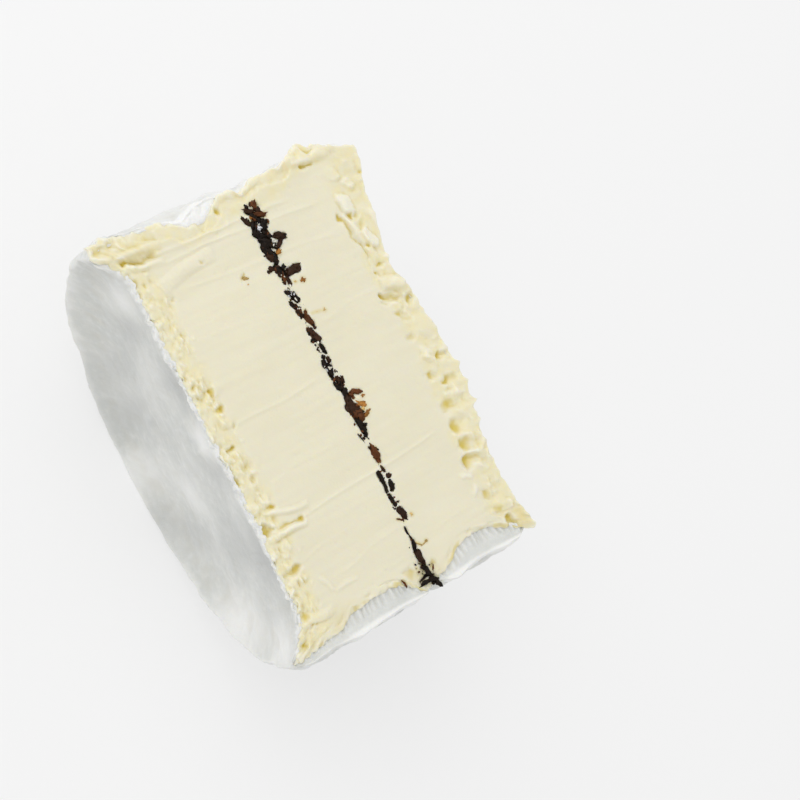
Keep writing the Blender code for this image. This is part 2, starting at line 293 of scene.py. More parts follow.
class Nodes:
    """A material's node tree, with a few short ways to add and join nodes."""

    def __init__(self, name):
        self.material = bpy.data.materials.new(name)
        self.material.use_nodes = True
        self.tree = self.material.node_tree
        self.shader = self.tree.nodes["Principled BSDF"]
        self.place = self.tree.nodes.new("ShaderNodeTexCoord").outputs["Object"]

    def add(self, kind, **inputs):
        node = self.tree.nodes.new(kind)
        for name, value in inputs.items():
            self.set(node, name.replace("_", " "), value)
        return node

    def set(self, node, name, value):
        if isinstance(value, bpy.types.NodeSocket):
            self.tree.links.new(value, node.inputs[name])
        else:
            node.inputs[name].default_value = value

    def grain(self, scale, detail=2.0, roughness=0.5, stretch=(1.0, 1.0, 1.0)):
        """Noise of so many waves a metre, from 0 to 1."""
        mapping = self.add("ShaderNodeMapping", Vector=self.place, Scale=stretch)
        made = self.add("ShaderNodeTexNoise", Vector=mapping.outputs["Vector"], Scale=scale,
                        Detail=detail, Roughness=roughness)
        return made.outputs["Fac"]

    def attribute(self, name, output="Fac"):
        node = self.tree.nodes.new("ShaderNodeAttribute")
        node.attribute_name = name
        return node.outputs[output]

    def between(self, value, low, high, to_low=0.0, to_high=1.0):
        node = self.tree.nodes.new("ShaderNodeMapRange")
        for name, number in zip(("Value", "From Min", "From Max", "To Min", "To Max"),
                                (value, low, high, to_low, to_high)):
            self.set(node, name, number)
        return node.outputs["Result"]

    def mix(self, share, first, second):
        node = self.tree.nodes.new("ShaderNodeMix")
        node.data_type = "RGBA"
        for index, value in ((0, share), (6, first), (7, second)):
            if isinstance(value, bpy.types.NodeSocket):
                self.tree.links.new(value, node.inputs[index])
            elif index == 0:
                node.inputs[index].default_value = value
            else:
                node.inputs[index].default_value = (*value, 1.0)
        return node.outputs[2]

    def coats(self, tint, *layers):
        """Colours laid over a tint: value, where it starts and ends, greatest share, colour."""
        for value, low, high, most, color in layers:
            tint = self.mix(self.between(value, low, high, 0.0, most), tint, color)
        return tint

    def bump(self, height, distance, strength=1.0, normal=None):
        node = self.add("ShaderNodeBump", Height=height, Distance=distance, Strength=strength)
        if normal is not None:
            self.tree.links.new(normal, node.inputs["Normal"])
        return node.outputs["Normal"]

    def finish(self, **inputs):
        """Sets the shader's own inputs and returns the material."""
        for name, value in inputs.items():
            self.set(self.shader, name.replace("_", " "), value)
        return self.material


def color_setting(name, description, color):
    return FloatVectorProperty(name=name, description=description, default=color,
                               subtype="COLOR")


class RindSettings(PropertyGroup):
    # White: the thickest mould, and also the colour of the painted highlight on crests and of the
    # painted light on the rind.
    white: color_setting("Thick mould", "Colour of the thickest mould", (0.93, 0.93, 0.905))
    # Dark: painted shade, laid into the dents of the -Y face.
    dark: color_setting("Dull mould", "Colour in the dents of the face", (0.50, 0.51, 0.50))
    color: color_setting("Mould", "Colour of the white mould", (0.735, 0.742, 0.708))
    # Shade: painted shade, the darker beige laid into the rind's creases and hollows.
    shade: color_setting("Worn mould", "Colour where the mould is thin", (0.62, 0.59, 0.50))
    voxel: FloatProperty(name="Mesh size", description="Edge length of the rind's mesh",
                         default=0.00053, precision=5, unit="LENGTH")
    seed: IntProperty(name="Seed", description="Draw of the creases", default=1795871203)


class PasteSettings(PropertyGroup):
    spacing: FloatProperty(name="Mesh size", description="Edge length of the paste's mesh",
                           default=0.00022, precision=5, unit="LENGTH")
    color: color_setting("Paste", "Colour of the cut paste", (0.83, 0.785, 0.60))
    edge: color_setting("Torn paste", "Colour of the torn edges", (0.845, 0.775, 0.50))
    # The next colour is the ripe paste's, and also the painted golden shade in pits, cracks and
    # the deep ends of scoops.
    ripe_and_golden_shade: color_setting("Ripe paste", "Colour in cracks and pits", (0.68, 0.53, 0.07))
    # The next colour is the pale paste's, and also the painted highlight on standing crests.
    pale: color_setting("Pale paste", "Colour of the standing crests", (0.89, 0.86, 0.73))
    seed: IntProperty(name="Seed", description="Draw of the torn lumps", default=5)


class TruffleSettings(PropertyGroup):
    seed: IntProperty(name="Seed", description="Draw of the grains", default=3)


class StageSettings(PropertyGroup):
    lens: FloatProperty(name="Lens", description="Focal length in mm on a 36 mm sensor",
                        default=59.676)
    sky: FloatProperty(name="Sky", description="Strength of the even light from all round",
                       default=0.77)
    softbox: FloatProperty(name="Softbox", description="Power of the large light above",
                           default=2.4, unit="POWER")


# Where the paste ends at the +X end of the cut: across the wheel, and along it
PASTE_END = (
    (-0.0264, 0.0384), (-0.0196, 0.0379), (-0.0155, 0.0368), (-0.0135, 0.0354),
    (-0.0085, 0.0351), (-0.0045, 0.0353), (-0.0020, 0.0360), (0.0005, 0.0378),
    (0.0020, 0.0394), (0.0048, 0.0396), (0.0075, 0.0364), (0.0100, 0.0352),
    (0.0126, 0.0345), (0.0182, 0.0349), (0.0218, 0.0371), (0.0264, 0.0394),
)
# How far the paste's edge lies inside the rind at the -X end: across the wheel, and inset
START_INSET = (
    (-0.0264, 0.0000), (-0.0235, 0.0000), (-0.0212, 0.0005), (-0.0128, 0.0001),
    (-0.0098, 0.0004), (-0.0078, 0.0015), (-0.0060, 0.0024), (-0.0044, 0.0022),
    (-0.0028, 0.0014), (-0.0007, 0.0000), (0.0200, 0.0000), (0.0235, 0.0007),
    (0.0264, 0.0013),
)
NEAR_INSET = 0.0009
FAR_INSET = 0.0002
INSET_REACH = 0.009


def table_value(table, place):
    """A value read between the entries of a table; the place may be an array."""
    places, values = zip(*table)
    return np.interp(place, places, values)


def paste_shift(x, y):
    """How far the plain slab's points are drawn in from the four edges of the cut."""
    at_end = ease(CUT_HALF_LENGTH - INSET_REACH, CUT_HALF_LENGTH, x)
    at_start = ease(CUT_HALF_LENGTH - INSET_REACH, CUT_HALF_LENGTH, -x)
    at_far = ease(HALF_WIDTH - INSET_REACH, HALF_WIDTH, y)
    at_near = ease(HALF_WIDTH - INSET_REACH, HALF_WIDTH, -y)
    along_x = (table_value(START_INSET, y) * at_start
               - (CUT_HALF_LENGTH - table_value(PASTE_END, y)) * at_end)
    return along_x, NEAR_INSET * at_near - FAR_INSET * at_far


# Smears of torn paste inside the border: x, y, half length, half width and strength
SMEARS = (
    (0.0355, -0.0145, 0.0030, 0.0050, 0.42), (0.0365, -0.0220, 0.0030, 0.0040, 0.30),
    (-0.0370, -0.0180, 0.0030, 0.0060, 0.30), (-0.0330, 0.0240, 0.0060, 0.0025, 0.25),
    (0.0370, 0.0040, 0.0020, 0.0060, 0.40), (0.0370, 0.0250, 0.0030, 0.0020, 0.60),
)


def face_places(x, y):
    """Where the plain slab's points come to lie in the real, dished and flared cut plane."""
    shift_x, shift_y = paste_shift(x, y)
    radius = np.hypot(x, CUT_OFFSET) / WHEEL_RADIUS
    bowl = (1 - np.minimum(radius / DISH_EDGE, 1.0) ** DISH_POWER) * (y / HALF_WIDTH) ** 2
    dish = bowl * np.where(y < 0, NEAR_DISH, -FAR_DISH)
    x_share = ease(0.6, 1.0, np.abs(x) / CUT_HALF_LENGTH)
    y_share = ease(0.6, 1.0, np.abs(y) / HALF_WIDTH)
    flare_x = np.where(x < 0, -lobes(START_LOBES, y, hump), lobes(END_LOBES, y, hump))
    flare_y = np.where(y < 0, -lobes(NEAR_LOBES, x, hump), lobes(FAR_LOBES, x, hump))
    return x + shift_x + flare_x * x_share, y + shift_y + dish + flare_y * y_share


def cut_by_plane(shape, place, direction, clear=True):
    """Cuts a bmesh along a plane, and clears what lies beyond it."""
    bmesh.ops.bisect_plane(shape, geom=shape.verts[:] + shape.edges[:] + shape.faces[:],
                           plane_co=place, plane_no=direction, clear_outer=clear)


def plain_half_wheel(radius, half_width, top):
    """The turned wheel cut flat at the given height."""
    profile = [(0.0, -half_width)]
    steps = 6
    for side, start in ((-1, -90), (1, 0)):
        for step in range(steps + 1):
            angle = math.radians(start + 90 * step / steps)
            along = side * (half_width - RIM_ROUNDING) + RIM_ROUNDING * math.sin(angle)
            profile.append((radius - RIM_ROUNDING + RIM_ROUNDING * math.cos(angle), along))
    profile.append((0.0, half_width))
    shape = bmesh.new()
    points = [shape.verts.new((out, along, 0.0)) for out, along in profile]
    for first, second in zip(points, points[1:]):
        shape.edges.new((first, second))
    bmesh.ops.spin(shape, geom=shape.verts[:] + shape.edges[:], cent=(0.0, 0.0, 0.0),
                   axis=(0.0, 1.0, 0.0), angle=math.tau, steps=TURN_STEPS, use_merge=True)
    bmesh.ops.remove_doubles(shape, verts=shape.verts, dist=MERGE_DISTANCE)
    bmesh.ops.translate(shape, vec=(0.0, 0.0, AXIS_HEIGHT), verts=shape.verts)
    cut_by_plane(shape, (0.0, 0.0, top), (0.0, 0.0, 1.0))
    bmesh.ops.holes_fill(shape, edges=[edge for edge in shape.edges if edge.is_boundary])
    bmesh.ops.recalc_face_normals(shape, faces=shape.faces)
    return shape


# Dents and swellings of the -Y face, with painted shade in the dents and painted light on the
# swellings: x, z, half width, half height and strength
FACE_PATCHES = (
    (-0.0382, 0.0400, 0.0030, 0.0060, 0.1), (-0.0260, 0.0388, 0.0036, 0.0080, 0.9),
    (-0.0218, 0.0180, 0.0045, 0.0120, 0.7), (-0.0132, 0.0490, 0.0045, 0.0060, 1.0),
    (-0.0116, 0.0115, 0.0060, 0.0130, 0.8), (0.0031, 0.0470, 0.0035, 0.0060, 0.8),
    (0.0106, 0.0020, 0.0055, 0.0070, 0.7), (0.0152, 0.0156, 0.0050, 0.0090, 0.7),
    (0.0185, 0.0515, 0.0050, 0.0050, 0.9), (0.0230, 0.0490, 0.0040, 0.0060, 0.6),
    (0.0176, 0.0380, 0.0070, 0.0110, 0.7), (-0.0303, 0.0460, 0.0040, 0.0060, -0.8),
    (-0.0028, 0.0495, 0.0040, 0.0050, -0.9), (-0.0011, 0.0040, 0.0060, 0.0090, -0.6),
    (0.0078, 0.0242, 0.0060, 0.0090, -0.7), (0.0330, 0.0240, 0.0060, 0.0100, -0.9),
    (0.0366, 0.0450, 0.0040, 0.0070, -0.9), (-0.0390, 0.0300, 0.0030, 0.0060, -0.4),
)
PATCH_DEPTH = 0.00045
RIM_TATTERS = 0.0006
FAR_RIM_INSET = 0.0007
RIND_INNER_DEPTH = 0.0021
LIP_MARGIN = 0.0008
LIP_LEAST_WIDTH = 0.0012
LIP_SUNK = 0.0006
LIP_FOLD_DEPTH = 0.00020
LIP_FOLD_SPACING = 0.0012
# Creases, folds and pillows of the rind's skin
WARP_SIZE = 0.009
CREASE_SIZE = 0.0052
CREASE_DEPTH = 0.00040
FLAT_CREASE_LOSS = 0.00018
FOLD_DEPTH = 0.00022
PILLOW_SIZE = 0.0026
PILLOW_DEPTH = 0.00009
# Where the rind's mesh is made finer: along the border of the cut, and on the rolled lip
FINE_BORDER_DEPTH = 0.0018
FINE_BORDER_WIDTH = 0.002
FINE_LIP_DEPTH = 0.0008
FINE_LIP_MARGIN = 0.001
# Rounds of averaging that hollows are told by, and the depth of a full hollow
RIND_HOLLOWS = (24, 0.0002)
PASTE_HOLLOWS = (14, 0.00014)


def face_patch(x, z):
    """Above 0 in a dent of the -Y face, which gets painted shade, and below 0 on a swelling, which
    gets painted light.
    """
    return sum(strength * bell(0.0, 1.0, math.hypot((x - place_x) / wide, (z - place_z) / high))
               for place_x, place_z, wide, high, strength in FACE_PATCHES)


def lip_place(x, y):
    """Where the rolled lip starts on this line, and how far across it a point lies."""
    start = float(table_value(PASTE_END, y)) - LIP_MARGIN
    return start, (x - start) / max(CUT_HALF_LENGTH - start, LIP_LEAST_WIDTH)


def mark_painted_light(mesh):
    """Stores painted shade and light for the mould at each point: above 0 for painted shade in the
    dents of the -Y face, below 0 for painted light on its swellings and at the -X end, for the
    painted highlight along the lip's outer edge and for the rind's own white cut edge.
    """
    values = []
    for vertex in mesh.vertices:
        x, y, z = vertex.co
        on_face = smooth_step(0.012, 0.018, -y)
        ragged = 0.0004 * noise.noise(vertex.co / 0.0012)
        near_cut = smooth_step(CUT_HEIGHT - 0.0021, CUT_HEIGHT - 0.0004, z + ragged)
        across = lip_place(x, y)[1]
        # The rind is whiter near the cut: its own white cut edge.
        white_rim_and_highlight = near_cut * (0.9 - 0.4 * on_face)
        # On the lip the white is kept mostly along its outer edge, as a painted highlight.
        if across > 0.0:
            white_rim_and_highlight *= 0.8 * smooth_step(0.78, 0.92, across) + 0.2
        # The -X end is painted lighter: painted light.
        painted_light_start = smooth_step(0.030, 0.040, -x) * (1 - on_face)
        # Painted shade in the dents of the -Y face and painted light on its swellings, less the
        # white of the cut edge and the painted light at the -X end.
        values.append(face_patch(x, z) * on_face * (1 - near_cut) - white_rim_and_highlight - 0.5 * painted_light_start)
    store(mesh, "painted_light_and_white_rim", values)


def rind_point(point, normal):
    """The rind's own detail on top of the wheel's weathering."""
    x, y, z = point
    moved = weathered(point)
    flat = smooth_step(0.5, 0.9, abs(normal.y))
    warp = noise.noise_vector(point / WARP_SIZE) * 1.6
    crumple = 1 - abs(noise.noise(Vector((x, y * 1.3, z)) / CREASE_SIZE + warp))
    crumple = crumple ** 3 - 0.35
    fold = noise.noise(Vector((x / 0.009, y / 0.01, z / 0.0045)) + warp * 0.6)
    pillow = noise.noise(point / PILLOW_SIZE + warp)
    calm = smooth_step(0.0, REST_CALM * 0.5, z)
    amount = (CREASE_DEPTH - FLAT_CREASE_LOSS * flat) * crumple
    amount += FOLD_DEPTH * fold + PILLOW_DEPTH * pillow
    on_top = smooth_step(0.5, 0.9, normal.z) * smooth_step(CUT_HEIGHT - 0.004, CUT_HEIGHT, z)
    if y < 0:
        amount -= PATCH_DEPTH * flat * face_patch(x, z) * smooth_step(0.0, 0.003, CUT_HEIGHT - z)
    moved += normal * amount * calm * (1 - on_top)
    rim = smooth_step(CUT_HEIGHT - 0.0020, CUT_HEIGHT - 0.0003, z)
    tatters = noise.fractal(Vector((x, 0.0, z * 0.4)) / 0.0013, 0.9, 2.0, 3)
    if y < 0:
        moved.y -= RIM_TATTERS * tatters * rim * smooth_step(0.020, 0.024, -y)
    else:
        moved.y -= FAR_RIM_INSET * rim * smooth_step(0.020, 0.024, y)
    start_rim = smooth_step(0.034, 0.037, -x) * smooth_step(-0.002, 0.001, y)
    moved.x += FAR_RIM_INSET * rim * start_rim
    moved.z += on_top * rim_height(x, y)
    moved.z = max(moved.z, 0.0)
    return moved


def rim_height(x, y):
    """The rind's height at the cut: a low wall round the paste, and the rolled lip at +X."""
    border = min(CUT_HALF_LENGTH - abs(x), HALF_WIDTH - abs(y))
    ragged = noise.fractal(Vector((x, y, 0.0)) / 0.0016, 0.9, 2.0, 2)
    inset = NEAR_INSET if y < -0.020 else 0.0
    if x < -0.030:
        inset = max(inset, float(table_value(START_INSET, y)))
    wall = 1 - smooth_step(0.0003, 0.0012, border - inset + 0.0003 * ragged)
    wall *= 1 - max(smooth_step(0.018, 0.023, y),
                    smooth_step(-0.002, 0.001, y) * smooth_step(0.020, 0.030, -x))
    height = -RIND_INNER_DEPTH + wall * (RIND_INNER_DEPTH - 0.0003 + 0.0004 * ragged)
    lip_start, across = lip_place(x, y)
    lip = smooth_step(lip_start - 0.0010, lip_start, x)
    bend = 5.0 * noise.noise(Vector((x * 0.5, y, 2.0)) / 0.0030)
    fold = math.sin(math.tau * y / LIP_FOLD_SPACING + bend)
    reach = 0.45 + 0.25 * noise.noise(Vector((0.0, y, 6.0)) / 0.0020)
    depth = LIP_FOLD_DEPTH * (1 + noise.noise(Vector((0.0, y, 8.0)) / 0.0016))
    folds = depth * fold * smooth_step(0.0, 0.15, across)
    folds *= 1 - smooth_step(reach, reach + 0.25, across)
    rolled = -LIP_SUNK + 0.0003 * smooth_step(0.3, 0.9, across) + folds
    rolled += 0.0005 * bell(0.95, 0.10, across)
    return height + (rolled - height) * lip


def in_fine_border(place):
    inside = min(CUT_HALF_LENGTH - abs(place.x), HALF_WIDTH - abs(place.y))
    return place.z > CUT_HEIGHT - FINE_BORDER_DEPTH and inside < FINE_BORDER_WIDTH


def in_fine_lip(place):
    return (place.z > CUT_HEIGHT - FINE_LIP_DEPTH
            and place.x > table_value(PASTE_END, place.y) - FINE_LIP_MARGIN)


def rind_material(settings):
    made = Nodes("bloomy rind")
    broad = made.grain(90.0, 3.0)
    patches = made.grain(210.0, 3.0, 0.55)
    mottle = made.grain(520.0, 4.0, 0.6)
    hollow = made.attribute("hollow")
    painted_light_and_white_rim = made.attribute("painted_light_and_white_rim")
    duller = tuple(share * c for share, c in zip((0.86, 0.87, 0.87), settings.color))
    tint = made.coats(
        made.mix(made.between(broad, 0.35, 0.65), duller, settings.color),
        (patches, 0.5, 0.75, 0.5, duller),
        (mottle, 0.45, 0.8, 0.4, settings.white),
        # Paler on crests: painted highlight.
        (hollow, -0.2, -1.5, 0.5, settings.white),
        # Painted light on swellings and at the -X end, painted highlight along the lip's outer
        # edge, and the rind's own white cut edge.
        (painted_light_and_white_rim, 0.0, -1.0, 1.0, settings.white),
        # Darker beige in creases and hollows: painted shade.
        (hollow, 0.2, 1.6, 0.5, settings.shade),
        # Darker in the dents of the -Y face: painted shade.
        (painted_light_and_white_rim, 0.0, 1.2, 0.8, settings.dark),
    )
    downy = made.bump(made.grain(5200.0, 4.0, 0.7), 0.00008)
    soft = made.bump(made.grain(1100.0, 3.0, 0.6), 0.0002, 0.9, downy)
    return made.finish(
        Base_Color=tint, Roughness=made.between(mottle, 0.3, 0.7, 0.78, 0.95), Normal=soft,
        Subsurface_Weight=0.2, Subsurface_Radius=(1.0, 0.85, 0.6), Subsurface_Scale=0.001,
        Sheen_Weight=0.25, Sheen_Roughness=0.6, Specular_IOR_Level=0.25)


class CHEESE_OT_rind(Operator):
    """Models the white rind: flat faces, curved side with its groove, and the rolled lip"""
    bl_idname = "cheese.rind"
    bl_label = "Rind"

    def execute(self, context):
        settings = context.scene.cheese_rind
        shape = plain_half_wheel(WHEEL_RADIUS, HALF_WIDTH, CUT_HEIGHT)
        rind = object_from("rind", shape)
        remeshed(rind, settings.voxel)
        shape = bmesh.new()
        shape.from_mesh(rind.data)
        refine(shape, in_fine_border)
        refine(shape, in_fine_lip)
        shape.to_mesh(rind.data)
        shape.free()
        noise.seed_set(settings.seed)
        move_points(rind.data, rind_point)
        mark_painted_light(rind.data)
        mark_hollows(rind.data, *RIND_HOLLOWS)
        dress(rind, rind_material(settings), "cheese")
        return {"FINISHED"}


# Torn bands of the cut: edge, depth of the band, flakes a metre, and the flakes' ranges of
# length, width, height and turn
BANDS = (
    ("near", 0.0080, 330.0, (1.0, 2.8), (0.7, 1.7), (-0.15, 0.40), 0.7),
    ("far", 0.0066, 260.0, (1.2, 3.2), (0.9, 2.2), (-0.15, 0.45), 0.8),
    ("start", 0.0046, 480.0, (0.8, 2.0), (3.0, 8.0), (-0.10, 0.36), 0.20),
    ("end", 0.0016, 700.0, (0.4, 0.9), (0.8, 2.2), (-0.15, 0.20), 0.5),
)
# Lumps and scoops of the torn bands: how many a metre, radii and heights or depths
BAND_LUMPS = {
    "near": (620.0, (0.4, 1.4), (0.08, 0.40)),
    "far": (380.0, (0.4, 1.4), (0.06, 0.30)),
    "start": (350.0, (0.4, 1.1), (0.05, 0.18)),
}
BAND_SCOOPS = {
    "near": (300.0, (0.4, 1.1), (0.15, 0.45)),
    "far": (160.0, (0.4, 1.2), (0.15, 0.50)),
    "start": (120.0, (0.3, 0.9), (0.12, 0.35)),
}
BAND_FLOOR = {"near": 0.00025, "far": 0.00015, "start": 0.00030, "end": 0.00025}
# The axis that each edge of the cut lies across and the side it lies on, and the way out
BORDERS = {"near": (1, -1), "far": (1, 1), "start": (0, -1), "end": (0, 1)}
OUTWARDS = {"near": -math.pi / 2, "far": math.pi / 2, "start": math.pi, "end": 0.0}
HALF_SIZES = (CUT_HALF_LENGTH, HALF_WIDTH)
# How the places of each kind of detail are bent: how far, size of the noise and its layer
FLAKE_BENDS = ((0.0008, 0.0032, 11.0), (0.00012, 0.0007, 13.0))
LUMP_BENDS = ((0.0004, 0.0015, 21.0),)
PLATE_BENDS = ((0.0005, 0.0020, 71.0), (0.00015, 0.0007, 73.0))
SCOOP_BENDS = ((0.0009, 0.0030, 61.0), (0.00035, 0.0011, 63.0))
GROOVE_BENDS = ((0.00012, 0.0008, 41.0),)


def border_distance(border, x, y):
    """How far inside one edge of the cut a point lies."""
    axis, side = BORDERS[border]
    return HALF_SIZES[axis] - side * (x, y)[axis]


def band_places(border, depth, density, power, draw):
    """Random places in one torn band, so many for each metre of it."""
    axis, side = BORDERS[border]
    reach = HALF_SIZES[1 - axis]
    for _ in range(int(density * 2 * reach)):
        along = draw.uniform(-reach, reach)
        out = side * (HALF_SIZES[axis] - depth * draw.random() ** power)
        yield (along, out) if axis else (out, along)


def oblong_places(x, y, place_x, place_y, heading, reach):
    """The points near a place, and how far along and across its heading each lies."""
    near = np.flatnonzero((np.abs(x - place_x) < reach) & (np.abs(y - place_y) < reach))
    away_x = x[near] - place_x
    away_y = y[near] - place_y
    along = away_x * math.cos(heading) + away_y * math.sin(heading)
    across = away_y * math.cos(heading) - away_x * math.sin(heading)
    return near, along, across


def draw_flakes(draw):
    """The overlapping flakes of smeared paste: place, heading, length, width and height."""
    flakes = []
    for border, depth, density, lengths, widths, heights, turn in BANDS:
        for place in band_places(border, depth, density, 0.9, draw):
            heading = OUTWARDS[border] + draw.uniform(-turn, turn)
            flakes.append((*place, heading, draw.uniform(*lengths) * MM,
                           draw.uniform(*widths) * MM, draw.uniform(*heights) * MM))
    draw.shuffle(flakes)
    return flakes


def raise_flakes(x, y, height, flakes):
    """Lays the flakes over the height field: each climbs outwards and ends in a sharp crest."""
    x, y = bent_places(x, y, FLAKE_BENDS)
    for flake_x, flake_y, heading, length, width, top in flakes:
        near, along, across = oblong_places(x, y, flake_x, flake_y, heading, length + width)
        along = along / length
        across = across / width
        inside = (along > -1) & (along < 1 - 0.6 * across ** 2) & (np.abs(across) < 1)
        near, along, across = near[inside], along[inside], across[inside]
        climb = top * (0.5 + 0.5 * along) ** 1.3 - 0.00012 * across ** 2
        height[near] = np.maximum(height[near], climb)
    return height


def raise_lumps(x, y, height, draw):
    """Adds the small lumps and takes out the scoops, each with a crisp foot."""
    x, y = bent_places(x, y, LUMP_BENDS)
    for table, sign in ((BAND_SCOOPS, -1), (BAND_LUMPS, 1)):
        for border, (density, radii, tops) in table.items():
            depth = next(band[1] for band in BANDS if band[0] == border)
            for place in band_places(border, depth, density, 1.2, draw):
                long_side = draw.uniform(*radii) * MM
                short_side = long_side * draw.uniform(0.5, 0.95)
                top = sign * draw.uniform(*tops) * MM
                turn = draw.uniform(0, math.pi)
                near, along, across = oblong_places(x, y, *place, turn, long_side)
                out = (along / long_side) ** 2 + (across / short_side) ** 2
                height[near] += top * np.clip(1 - out, 0.0, 1.0) ** 0.6
    return height


def segment_distance(x, y, start, end):
    """Distance of each point from a straight line between two places."""
    along_x, along_y = end[0] - start[0], end[1] - start[1]
    length = max(along_x ** 2 + along_y ** 2, 1e-12)
    share = np.clip(((x - start[0]) * along_x + (y - start[1]) * along_y) / length, 0.0, 1.0)
    return np.hypot(x - start[0] - share * along_x, y - start[1] - share * along_y)


# Rolls of paste that stand out by themselves: start, end, radius, height and bend
ROLLS = (
    ((-0.0284, 0.0190), (-0.0178, 0.0213), 0.0008, 0.0006, 0.02),
    ((-0.0138, 0.0196), (-0.0098, 0.0240), 0.0013, 0.0011, 0.25),
    ((-0.0372, -0.0222), (-0.0362, -0.0140), 0.0007, 0.0007, 0.04),
    ((-0.0346, -0.0216), (-0.0338, -0.0142), 0.0006, 0.0005, -0.03),
    ((-0.0292, -0.0176), (-0.0313, -0.0057), 0.0014, 0.0005, 0.05),
    ((0.0173, -0.0190), (0.0175, -0.0122), 0.0007, 0.0007, 0.05),
    ((0.0125, -0.0182), (0.0146, -0.0104), 0.0006, 0.0005, -0.08),
    ((0.0270, -0.0153), (0.0307, -0.0137), 0.0005, 0.0003, 0.10),
    ((0.0307, -0.0137), (0.0306, -0.0085), 0.0005, 0.0003, 0.05),
    ((0.0320, -0.0205), (0.0330, -0.0150), 0.0009, 0.0004, -0.10),
    ((-0.0402, 0.0100), (-0.0399, 0.0235), 0.0011, 0.0007, 0.03),
    ((-0.0392, -0.0020), (-0.0392, 0.0075), 0.0008, 0.0005, 0.06),
    ((0.0265, 0.0195), (0.0285, 0.0180), 0.0006, 0.0004, 0.20),
)

# Flat or domed pieces of paste that stand proud, in millimetres: x, y, heading in degrees,
# half length, half width, height and the share of it that is flat
PLATES = (
    (-29.4, 20.6, 12, 2.5, 1.3, 0.9, 0.80), (-22.4, 21.9, 15, 2.1, 1.1, 1.0, 0.80),
    (-32.8, 22.8, 30, 1.7, 1.0, 0.5, 0.50), (-17.8, 23.4, 40, 1.4, 0.9, 0.5, 0.50),
    (-25.8, 24.4, 10, 2.4, 0.9, 0.4, 0.40), (-12.8, 22.6, 50, 2.3, 1.6, 0.7, 0.30),
    (-4.0, 24.2, 70, 3.0, 3.2, 0.5, 0.20), (24.6, 18.8, 60, 1.6, 0.6, 0.4, 0.40),
    (9.8, 23.6, 80, 2.2, 0.7, 0.5, 0.40), (0.4, 22.4, 60, 1.8, 0.8, 0.4, 0.40),
    (-13.5, -22.8, 80, 1.7, 1.2, 0.5, 0.30), (-3.4, -21.4, 90, 1.7, 1.4, 0.5, 0.30),
    (2.9, -21.6, 100, 1.8, 1.2, 0.5, 0.30), (8.4, -22.0, 80, 1.6, 1.3, 0.5, 0.30),
    (10.6, -19.8, 90, 1.4, 0.8, 0.4, 0.30), (20.0, -20.6, 90, 2.0, 1.0, 0.5, 0.30),
    (26.6, -20.8, 70, 1.6, 1.1, 0.4, 0.30), (-22.4, -21.8, 90, 1.7, 1.3, 0.4, 0.30),
)

# Scoops, pits and creases of the cut face in millimetres: x and y of the deep end, heading
# in degrees, length, half width and depth
SCOOPS = (
    (2.5, 24.5, 80, 3.2, 1.1, 0.9), (7.4, 23.5, 75, 3.2, 1.1, 0.9), (5.3, 21.3, 60, 1.6, 0.9, 0.5),
    (11.6, 21.8, 80, 4.2, 1.8, 0.5), (15.6, 21.0, 85, 4.5, 1.8, 0.6),
    (19.3, 21.2, 80, 4.2, 1.6, 0.9), (22.2, 20.5, 65, 5.0, 1.5, 1.2),
    (29.5, 20.6, 85, 4.0, 1.4, 0.4), (33.2, 21.8, 70, 3.0, 1.3, 0.4),
    (36.2, 23.4, 10, 2.6, 0.9, 1.1), (38.2, 22.6, 300, 1.6, 0.6, 0.6),
    (-28.6, 18.1, 10, 11.4, 0.45, 0.7), (-27.4, 20.2, 290, 1.0, 0.7, 0.6),
    (-20.9, 20.8, 300, 1.0, 0.7, 0.6), (-17.2, 21.5, 60, 1.2, 0.6, 0.7),
    (-15.9, 20.0, 50, 1.2, 0.6, 0.6), (-12.3, 19.3, 50, 4.0, 0.6, 1.2),
    (-9.5, 23.6, 60, 1.4, 0.9, 0.8), (-7.6, 20.6, 40, 3.0, 1.0, 0.4),
    (-9.6, -17.4, 265, 2.8, 0.7, 0.8), (-6.6, -17.4, 270, 1.3, 0.8, 0.6),
    (0.2, -18.4, 265, 1.4, 0.7, 1.0), (-0.1, -21.8, 270, 2.0, 0.9, 0.7),
    (5.7, -20.6, 270, 2.0, 1.0, 0.7), (12.5, -17.2, 260, 2.2, 0.8, 0.6),
    (15.3, -19.4, 265, 2.6, 1.0, 1.0), (16.4, -13.0, 268, 5.4, 0.6, 0.8),
    (23.8, -17.9, 270, 2.4, 1.1, 0.9), (32.0, -20.2, 250, 2.2, 1.1, 0.6),
    (36.4, -23.6, 300, 1.6, 0.7, 0.8), (36.4, -14.3, 60, 1.2, 0.5, 0.5),
    (-17.9, -21.0, 270, 1.8, 0.9, 1.0), (-26.6, -21.8, 275, 2.0, 1.0, 0.6),
    (-31.9, -21.2, 265, 2.0, 1.1, 0.6), (-36.0, -21.3, 79, 6.6, 0.6, 1.0),
    (-38.8, -24.2, 225, 1.2, 0.9, 0.15), (-38.8, -22.2, 200, 1.2, 0.9, 0.20),
    (-37.3, -1.8, 170, 0.7, 0.6, 0.9), (-39.2, 15.9, 90, 2.6, 0.55, 1.1),
    (-30.7, -8.8, 80, 1.0, 0.5, 0.3), (-25.0, -2.9, 0, 0.5, 0.5, 0.4),
    (35.4, 0.6, 20, 2.6, 1.1, 0.35), (35.6, 5.6, 340, 2.2, 1.0, 0.35),
    (37.2, 2.4, 10, 2.4, 1.3, 0.30), (37.4, 24.2, 290, 3.0, 1.3, 0.40),
    (-34.6, 26.0, 200, 2.0, 0.8, 0.40),
)


